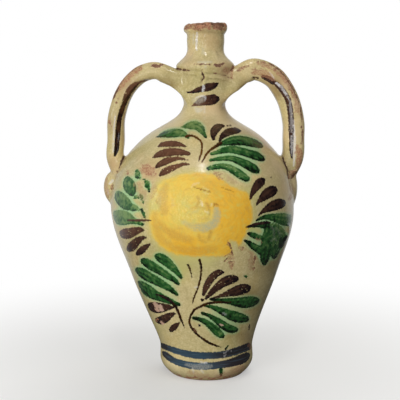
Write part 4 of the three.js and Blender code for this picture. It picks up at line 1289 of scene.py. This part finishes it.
floorMesh = bpy.data.meshes.new("studio_floor")
corners = [(x * studio["floorHalf"], y * studio["floorHalf"], 0) for x, y in ((-1, -1), (1, -1), (1, 1), (-1, 1))]
floorMesh.from_pydata(corners, [], [(0, 1, 2, 3)])
floorPiece = bpy.data.objects.new("studio_floor", floorMesh)
scene.collection.objects.link(floorPiece)
floorPaint = bpy.data.materials.new("pale studio paint, rolled")
floorPaint.use_nodes = True
tree = floorPaint.node_tree
tree.nodes.clear()
path = addNode(tree, "LightPath")
place = addNode(tree, "NewGeometry")
away = addNode(tree, "VectorMath", {0: place.outputs["Position"]}, operation="LENGTH")
fade = addNode(tree, "MapRange", {"Value": away.outputs["Value"], "From Min": studio["shadow"][0],
                                  "From Max": studio["shadow"][1], "To Min": studio["shadowGlow"]},
               interpolation_type="SMOOTHSTEP")
pale = addNode(tree, "BsdfDiffuse", {"Color": linear(studio["floor"])})
glow = addNode(tree, "Emission", {"Color": (1, 1, 1, 1), "Strength": 1.0})
seen = addNode(tree, "MixShader", {0: fade.outputs[0], 1: pale.outputs[0], 2: glow.outputs[0]})
dull = addNode(tree, "BsdfDiffuse", {"Color": linear(studio["bounce"])})
# mirrored in the glaze, the floor far behind the jug is as pale as the wall above it
back = addNode(tree, "VectorMath", {0: place.outputs["Position"], 1: studio["white"]}, operation="DOT_PRODUCT")
far = addNode(tree, "MapRange", {"Value": back.outputs["Value"], "From Min": studio["floorFade"][0],
                                 "From Max": studio["floorFade"][1]}, interpolation_type="SMOOTHSTEP")
far = addNode(tree, "Math", {0: far.outputs[0], 1: path.outputs["Is Glossy Ray"]}, operation="MULTIPLY")
wall = addNode(tree, "Emission", {"Color": (1, 1, 1, 1), "Strength": studio["behind"]})
dull = addNode(tree, "MixShader", {0: far.outputs[0], 1: dull.outputs[0], 2: wall.outputs[0]})
mixed = addNode(tree, "MixShader", {0: path.outputs["Is Camera Ray"], 1: dull.outputs[0], 2: seen.outputs[0]})
addNode(tree, "OutputMaterial", {"Surface": mixed.outputs[0]})
floorMesh.materials.append(floorPaint)

# One glaze for the whole jug. Tin glaze over red earthenware, dipped: a cream coat that pools and runs, so its
# tone drifts over a hand's breadth, with iron specks from the clay and a gloss like thick glass.
glaze = {
    "cream": "#CAB985",
    "greenish": "#BBAF7A",
    "warm": "#D8BF80",
    "run": "#A79563",
    "peach": "#CDA983",
    "leafy": "#B4B25F",
    # pale: the coat's own paler mottle, and painted light where the tints are pale
    "pale": "#E3D4A6",
    # painted shade: the darker glaze laid under the straps' webs and arches, below the collar and on the lower right
    "paintedShade": "#7F6B3E",
    "speck": "#6B4526",
    "drift": 90,
    "mottle": 26,
    "runBreadth": 8,
    "runLength": 80,
    "speckSpacing": 9,
    "speckSize": (0.08, 0.045),  # of the spacing, edge and middle
    "speckRarity": 0.62,
    "roughness": 0.17,
    "ior": 1.5,
    "peel": 3.5,
    "peelDepth": 0.02,
}
# Bare earthenware, broken or rubbed: dull, pink to orange, dirt in the cracks, and the same dark as painted shade in
# the creases below the collar and at the straps' heels
clay = {
    "pink": "#BF9474",
    "red": "#935739",
    "crackDirtAndShade": "#38281D",
    "bisque": "#CFB29C",
    "patch": 5,
    "grain": 1.4,
    "ragged": 1.3,
    "torn": (12.0, 2.0),  # how far the edge of a faint place and of a dark crack is torn, mm
    "softEdge": 0.5,
    "rubbedThrough": (0.97, 1.06),
    "roughness": 0.62,
    "depth": 0.25,
}
# noise of 1.4 to 2 mm stands for clay grain and brush hairs of about 0.3 mm, too fine for this picture


def glazeMaterial(name, painted):
    material = bpy.data.materials.new(name)
    material.use_nodes = True
    tree = material.node_tree
    shader = tree.nodes["Principled BSDF"]
    layers = {}
    for layer in ("tintsAndShading", "flower", "green", "blue", "brown", "marks", "wearAndShade"):
        if painted or layer not in ("flower", "green", "blue"):
            attribute = addNode(tree, "Attribute", attribute_name=layer)
            layers[layer] = addNode(tree, "SeparateXYZ", {0: attribute.outputs["Vector"]}).outputs
    coordinates = addNode(tree, "TexCoord").outputs["Object"]
    place = addNode(tree, "VectorMath", {0: coordinates, "Scale": 1 / mm}, operation="SCALE").outputs[0]
    drift, mottle, fine, grain, patch = [
        addNode(tree, "TexNoise", {"Vector": place, "Scale": 1 / size, "Detail": detail}).outputs[0]
        for size, detail in ((glaze["drift"], 2.0), (glaze["mottle"], 4.0), (brownPaint["ragged"], 3.0),
                             (clay["grain"], 2.0), (clay["patch"], 4.0))]
    stretch = (1 / glaze["runBreadth"], 1 / glaze["runBreadth"], 1 / glaze["runLength"])
    hanging = addNode(tree, "VectorMath", {0: place, 1: stretch}, operation="MULTIPLY").outputs[0]
    runs = addNode(tree, "TexNoise", {"Vector": hanging, "Scale": 1.0, "Detail": 2.0}).outputs[0]
    ragged = addNode(tree, "MapRange", {"Value": fine, "From Min": 0.2, "From Max": 0.8,
                                        "To Min": -0.7, "To Max": 0.7}).outputs[0]
    dabs = addNode(tree, "MapRange", {"Value": patch, "From Min": 0.25, "From Max": 0.75, "To Min": -1.0}).outputs[0]
    holes = addNode(tree, "TexVoronoi", {"Vector": place, "Scale": 1 / brownPaint["pinholes"]}).outputs["Distance"]

    # the coat
    colour = linear(glaze["cream"])
    for source, low, high, most, tone in (
            (drift, 0.38, 0.62, 1.0, "greenish"), (mottle, 0.5, 0.75, 0.7, "warm"), (patch, 0.5, 0.8, 0.5, "pale"),
            (patch, 0.45, 0.2, 0.4, "run"), (fine, 0.5, 0.72, 0.45, "pale"), (fine, 0.5, 0.28, 0.45, "run"),
            (runs, 0.52, 0.8, 0.35, "run")):
        amount = addNode(tree, "MapRange", {"Value": source, "From Min": low, "From Max": high, "To Max": most})
        colour = addNode(tree, "Mix", {0: amount.outputs[0], 6: colour, 7: linear(glaze[tone])},
                         data_type="RGBA").outputs[2]
    cells = addNode(tree, "TexVoronoi", {"Vector": place, "Scale": 1 / glaze["speckSpacing"]}).outputs
    amount = addNode(tree, "MapRange", {"Value": cells["Distance"], "From Min": glaze["speckSize"][0],
                                        "From Max": glaze["speckSize"][1], "To Max": 0.6}).outputs[0]
    chosen = addNode(tree, "Math", {0: cells["Color"], 1: glaze["speckRarity"]}, operation="GREATER_THAN").outputs[0]
    amount = addNode(tree, "Math", {0: amount, 1: chosen}, operation="MULTIPLY").outputs[0]
    colour = addNode(tree, "Mix", {0: amount, 6: colour, 7: linear(glaze["speck"])}, data_type="RGBA").outputs[2]
    # warmth is the glaze's own tone; paleness is partly painted light, and its dark side is painted shade
    warm, pale, bled = layers["tintsAndShading"]
    uneven = addNode(tree, "MapRange", {"Value": mottle, "From Min": 0.3, "From Max": 0.7,
                                        "To Min": 0.4, "To Max": 1.4}).outputs[0]
    for tint, way, tone in ((warm, 1, "peach"), (warm, -1, "leafy"), (pale, 1, "pale"), (pale, -1, "paintedShade")):
        amount = addNode(tree, "Math", {0: tint, 1: way}, operation="MULTIPLY", use_clamp=True).outputs[0]
        amount = addNode(tree, "Math", {0: amount, 1: uneven}, operation="MULTIPLY", use_clamp=True).outputs[0]
        colour = addNode(tree, "Mix", {0: amount, 6: colour, 7: linear(glaze[tone])}, data_type="RGBA").outputs[2]

    coats = []
    if painted:
        # yellow flower, its brush hairs running round the middle
        gap, thick, washed = layers["flower"]
        cloud = addNode(tree, "TexNoise", {"Vector": place, "Scale": 1 / yellowPaint["cloud"],
                                           "Detail": 5.0}).outputs[0]
        shift = addNode(tree, "MapRange", {"Value": cloud, "From Min": 0.25, "From Max": 0.75,
                                           "To Min": -0.45, "To Max": 0.45}).outputs[0]
        shift = addNode(tree, "Math", {0: dabs, 1: yellowPaint["dabs"], 2: shift}, operation="MULTIPLY_ADD").outputs[0]
        out = addNode(tree, "VectorMath", {0: place, 1: yellowPaint["middle"]}, operation="SUBTRACT").outputs[0]
        out = addNode(tree, "VectorMath", {0: out, 1: (1, 0, 1)}, operation="MULTIPLY").outputs[0]
        radius = addNode(tree, "VectorMath", {0: out}, operation="LENGTH").outputs["Value"]
        radius = addNode(tree, "Math", {0: radius, 1: yellowPaint["brush"]}, operation="DIVIDE").outputs[0]
        radius = addNode(tree, "Math", {0: cloud, 1: 5.0, 2: radius}, operation="MULTIPLY_ADD").outputs[0]
        axes = addNode(tree, "SeparateXYZ", {0: out}).outputs
        turn = addNode(tree, "Math", {0: axes[2], 1: axes[0]}, operation="ARCTAN2").outputs[0]
        turn = addNode(tree, "Math", {0: turn, 1: 2.2}, operation="MULTIPLY").outputs[0]
        rounds = addNode(tree, "CombineXYZ", {0: radius, 1: turn}).outputs[0]
        hairs = addNode(tree, "TexNoise", {"Vector": rounds, "Scale": 1.0, "Detail": 4.0, "Distortion": 1.2}).outputs[0]
        golden = addNode(tree, "Math", {0: thick, 1: shift}, operation="ADD", use_clamp=True).outputs[0]
        yellow = addNode(tree, "Mix", {0: golden, 6: linear(yellowPaint["plain"]), 7: linear(yellowPaint["golden"])},
                         data_type="RGBA").outputs[2]
        for low, high, most, tone in ((0.52, 0.7, 0.35, "ochre"), (0.48, 0.3, 0.4, "lemon")):
            amount = addNode(tree, "MapRange", {"Value": hairs, "From Min": low, "From Max": high, "To Max": most})
            yellow = addNode(tree, "Mix", {0: amount.outputs[0], 6: yellow, 7: linear(yellowPaint[tone])},
                             data_type="RGBA").outputs[2]
        pale = addNode(tree, "Math", {0: washed, 1: shift}, operation="ADD", use_clamp=True).outputs[0]
        yellow = addNode(tree, "Mix", {0: pale, 6: yellow, 7: linear(yellowPaint["washed"])},
                         data_type="RGBA").outputs[2]
        for low, high, tone in ((0.52, 0.7, "ochre"), (0.48, 0.3, "pale")):
            amount = addNode(tree, "MapRange", {"Value": fine, "From Min": low, "From Max": high, "To Max": 0.6})
            amount = addNode(tree, "Math", {0: amount.outputs[0], 1: washed}, operation="MULTIPLY").outputs[0]
            yellow = addNode(tree, "Mix", {0: amount, 6: yellow, 7: linear(yellowPaint[tone])},
                             data_type="RGBA").outputs[2]
        edge = addNode(tree, "Math", {0: shift, 1: yellowPaint["wander"], 2: gap}, operation="MULTIPLY_ADD").outputs[0]
        edge = addNode(tree, "Math", {0: edge, 1: ragged}, operation="ADD").outputs[0]
        amount = addNode(tree, "MapRange", {"Value": edge, "From Min": yellowPaint["halo"], "From Max": 0.0,
                                            "To Max": 0.4}).outputs[0]
        colour = addNode(tree, "Mix", {0: amount, 6: colour, 7: linear(yellowPaint["washed"])},
                         data_type="RGBA").outputs[2]
        soft = addNode(tree, "Math", {0: washed, 1: yellowPaint["washedEdge"], 2: yellowPaint["softEdge"]},
                       operation="MULTIPLY_ADD").outputs[0]
        hard = addNode(tree, "Math", {0: soft, 1: -1.0}, operation="MULTIPLY").outputs[0]
        dullness = addNode(tree, "MapRange", {"Value": edge, "From Min": soft, "From Max": hard, "To Max": 0.95},
                           interpolation_type="SMOOTHSTEP").outputs[0]
        thin = addNode(tree, "Math", {0: pale, 1: fine}, operation="MULTIPLY").outputs[0]
        thin = addNode(tree, "MapRange", {"Value": thin, "From Min": 0.3, "From Max": 0.6,
                                          "To Min": 1.0, "To Max": 0.55}).outputs[0]
        amount = addNode(tree, "Math", {0: dullness, 1: thin}, operation="MULTIPLY").outputs[0]
        colour = addNode(tree, "Mix", {0: amount, 6: colour, 7: yellow}, data_type="RGBA").outputs[2]

        # green leaves, with a pale bleed round them
        amount = addNode(tree, "MapRange", {"Value": bled, "From Min": 0.2, "From Max": 1.5, "To Max": 0.9},
                         interpolation_type="SMOOTHSTEP").outputs[0]
        colour = addNode(tree, "Mix", {0: amount, 6: colour, 7: linear(greenPaint["halo"])},
                         data_type="RGBA").outputs[2]
        thick = addNode(tree, "Math", {0: dabs, 1: greenPaint["dabs"], 2: layers["green"][1]},
                        operation="MULTIPLY_ADD").outputs[0]
        paint = linear(greenPaint["thin"])
        for low, high, tone in ((0.0, 0.5, "middle"), (0.5, 1.0, "thick")):
            amount = addNode(tree, "MapRange", {"Value": thick, "From Min": low, "From Max": high}).outputs[0]
            paint = addNode(tree, "Mix", {0: amount, 6: paint, 7: linear(greenPaint[tone])},
                            data_type="RGBA").outputs[2]
        coats.append(("green", paint, greenPaint))

        # blue bands
        stretch = (1 / bluePaint["streakLength"], 1 / bluePaint["streakLength"], 1 / bluePaint["streakBreadth"])
        lying = addNode(tree, "VectorMath", {0: place, 1: stretch}, operation="MULTIPLY").outputs[0]
        streaks = addNode(tree, "TexNoise", {"Vector": lying, "Scale": 1.0, "Detail": 2.0}).outputs[0]
        paint = addNode(tree, "Mix", {0: layers["blue"][1], 6: linear(bluePaint["plain"]),
                                      7: linear(bluePaint["navy"])}, data_type="RGBA").outputs[2]
        amount = addNode(tree, "MapRange", {"Value": streaks, "From Min": 0.52, "From Max": 0.72,
                                            "To Max": 0.35}).outputs[0]
        paint = addNode(tree, "Mix", {0: amount, 6: paint, 7: linear(bluePaint["streak"])},
                        data_type="RGBA").outputs[2]
        coats.append(("blue", paint, bluePaint))

    # brown leaves, stems and stripes
    thick = addNode(tree, "Math", {0: dabs, 1: brownPaint["dabs"], 2: layers["brown"][1]}, operation="MULTIPLY_ADD",
                    use_clamp=True).outputs[0]
    paint = addNode(tree, "Mix", {0: thick, 6: linear(brownPaint["thin"]), 7: linear(brownPaint["thick"])},
                    data_type="RGBA").outputs[2]
    amount = addNode(tree, "MapRange", {"Value": layers["brown"][2], "From Min": 0.0, "From Max": -0.5}).outputs[0]
    paint = addNode(tree, "Mix", {0: amount, 6: paint, 7: linear(brownPaint["rust"])}, data_type="RGBA",
                    blend_type="MULTIPLY").outputs[2]
    coats.append(("brown", paint, brownPaint))

    # each of these paints ends in a ragged edge, and is lost in pinholes where it is worn
    for layer, paint, kind in coats:
        edge = addNode(tree, "Math", {0: ragged, 1: layers[layer][0]}, operation="ADD").outputs[0]
        amount = addNode(tree, "MapRange", {"Value": edge, "From Min": kind["softEdge"], "From Max": -kind["softEdge"],
                                            "To Max": kind["cover"]}, interpolation_type="SMOOTHSTEP").outputs[0]
        lost = addNode(tree, "Math", {0: layers[layer][2], 1: -0.45, 2: holes}, operation="MULTIPLY_ADD").outputs[0]
        kept = addNode(tree, "MapRange", {"Value": lost, "From Min": -0.03, "From Max": 0.06}).outputs[0]
        amount = addNode(tree, "Math", {0: amount, 1: kept}, operation="MULTIPLY").outputs[0]
        colour = addNode(tree, "Mix", {0: amount, 6: colour, 7: paint}, data_type="RGBA").outputs[2]

    # ochre and grey marks, scratches, and painted highlights that stand in for glints of the glaze
    gap, tone, strength = layers["marks"]
    mark = linear(yellowPaint["ochre"])
    for low, high, other in ((0, 1, "grey"), (1, 2, "paintedHighlight"), (0, -1, "scratch")):
        amount = addNode(tree, "MapRange", {"Value": tone, "From Min": low, "From Max": high}).outputs[0]
        mark = addNode(tree, "Mix", {0: amount, 6: mark, 7: linear(yellowPaint[other])}, data_type="RGBA").outputs[2]
    # scratches and painted highlights get sharper edges than the ochre and grey marks
    soft = addNode(tree, "MapRange", {"Value": tone, "From Min": -0.6, "From Max": 0.0}).outputs[0]
    paintedHighlight = addNode(tree, "MapRange", {"Value": tone, "From Min": 1.8, "From Max": 1.2}).outputs[0]
    soft = addNode(tree, "Math", {0: soft, 1: paintedHighlight}, operation="MULTIPLY").outputs[0]
    soft = addNode(tree, "Math", {0: soft, 1: 1.9, 2: 0.7}, operation="MULTIPLY_ADD").outputs[0]
    hard = addNode(tree, "Math", {0: soft, 1: -1.0}, operation="MULTIPLY").outputs[0]
    edge = addNode(tree, "Math", {0: ragged, 1: 1.6, 2: gap}, operation="MULTIPLY_ADD").outputs[0]
    amount = addNode(tree, "MapRange", {"Value": edge, "From Min": soft, "From Max": hard},
                     interpolation_type="SMOOTHSTEP").outputs[0]
    amount = addNode(tree, "Math", {0: amount, 1: strength}, operation="MULTIPLY").outputs[0]
    broken = addNode(tree, "MapRange", {"Value": grain, "From Min": 0.3, "From Max": 0.6,
                                        "To Min": 0.45, "To Max": 1.1}).outputs[0]
    amount = addNode(tree, "Math", {0: amount, 1: broken}, operation="MULTIPLY").outputs[0]
    colour = addNode(tree, "Mix", {0: amount, 6: colour, 7: mark}, data_type="RGBA").outputs[2]

    # bare clay in chips and where it is rubbed, dark in cracks, and painted shade in the creases
    gap, dark, rub = layers["wearAndShade"]
    edge = addNode(tree, "Math", {0: ragged, 1: clay["ragged"], 2: gap}, operation="MULTIPLY_ADD").outputs[0]
    torn = addNode(tree, "MapRange", {"Value": dark, "From Min": 0.2, "From Max": 0.7,
                                      "To Min": clay["torn"][0], "To Max": clay["torn"][1]}).outputs[0]
    spread = addNode(tree, "Math", {0: patch, 1: 0.5}, operation="SUBTRACT").outputs[0]
    edge = addNode(tree, "Math", {0: spread, 1: torn, 2: edge}, operation="MULTIPLY_ADD").outputs[0]
    chip = addNode(tree, "MapRange", {"Value": edge, "From Min": clay["softEdge"], "From Max": -clay["softEdge"]},
                   interpolation_type="SMOOTHSTEP").outputs[0]
    faint = addNode(tree, "MapRange", {"Value": dark, "From Min": -1.0, "From Max": 0.0}).outputs[0]
    crumbs = addNode(tree, "MapRange", {"Value": grain, "From Min": 0.35, "From Max": 0.6, "To Min": 0.35}).outputs[0]
    faint = addNode(tree, "Math", {0: faint, 1: crumbs}, operation="MULTIPLY").outputs[0]
    whole = addNode(tree, "MapRange", {"Value": dark, "From Min": 0.2, "From Max": 0.5}).outputs[0]
    faint = addNode(tree, "Math", {0: faint, 1: whole}, operation="MAXIMUM").outputs[0]
    chip = addNode(tree, "Math", {0: chip, 1: faint}, operation="MULTIPLY").outputs[0]
    reached = addNode(tree, "Math", {0: patch, 1: rub}, operation="ADD").outputs[0]
    rubbed = addNode(tree, "MapRange", {"Value": reached, "From Min": clay["rubbedThrough"][0],
                                        "From Max": clay["rubbedThrough"][1]}).outputs[0]
    bare = addNode(tree, "Math", {0: chip, 1: rubbed}, operation="MAXIMUM").outputs[0]
    amount = addNode(tree, "MapRange", {"Value": grain, "From Min": 0.3, "From Max": 0.7}).outputs[0]
    dull = addNode(tree, "Mix", {0: amount, 6: linear(clay["pink"]), 7: linear(clay["red"])},
                   data_type="RGBA").outputs[2]
    pale = addNode(tree, "MapRange", {"Value": dark, "From Min": 1.0, "From Max": 2.0, "To Min": 0.4}).outputs[0]
    fresh = addNode(tree, "Mix", {0: pale, 6: dull, 7: linear(clay["bisque"])}, data_type="RGBA").outputs[2]
    # dark cracks and creases: dirt in the cracks, painted shade in the creases at the collar and the heels
    dirtAndShadeAmount = addNode(tree, "Math", {0: chip, 1: dark}, operation="MULTIPLY", use_clamp=True).outputs[0]
    dull = addNode(tree, "Mix", {0: dirtAndShadeAmount, 6: dull, 7: linear(clay["crackDirtAndShade"])}, data_type="RGBA").outputs[2]
    amount = addNode(tree, "Math", {0: dark, 1: 1.05}, operation="GREATER_THAN").outputs[0]
    dull = addNode(tree, "Mix", {0: amount, 6: dull, 7: fresh}, data_type="RGBA").outputs[2]
    colour = addNode(tree, "Mix", {0: bare, 6: colour, 7: dull}, data_type="RGBA").outputs[2]
    tree.links.new(colour, shader.inputs["Base Color"])

    rough = glaze["roughness"]
    if painted:
        rough = addNode(tree, "Mix", {0: dullness, 2: rough, 3: yellowPaint["roughness"]}).outputs[0]
    rough = addNode(tree, "Mix", {0: bare, 2: rough, 3: clay["roughness"]}).outputs[0]
    tree.links.new(rough, shader.inputs["Roughness"])
    shader.inputs["IOR"].default_value = glaze["ior"]
    peel = addNode(tree, "TexNoise", {"Vector": place, "Scale": 1 / glaze["peel"], "Detail": 1.0}).outputs[0]
    height = addNode(tree, "Math", {0: peel, 1: glaze["peelDepth"]}, operation="MULTIPLY").outputs[0]
    broken = addNode(tree, "Math", {0: bare, 1: -clay["depth"], 2: height}, operation="MULTIPLY_ADD").outputs[0]
    relief = addNode(tree, "Bump", {"Height": broken, "Strength": 1.0, "Distance": mm}).outputs[0]
    tree.links.new(relief, shader.inputs["Normal"])
    return material


bodyPiece.data.materials.append(glazeMaterial("tin-glazed earthenware, thrown, dipped and painted", True))
plainGlaze = glazeMaterial("tin-glazed earthenware, dipped, worn by handling", False)
for piece in (neckPiece, leftPiece, rightPiece):
    piece.data.materials.append(plainGlaze)
print("materials:", ", ".join(material.name for material in bpy.data.materials if material.users))
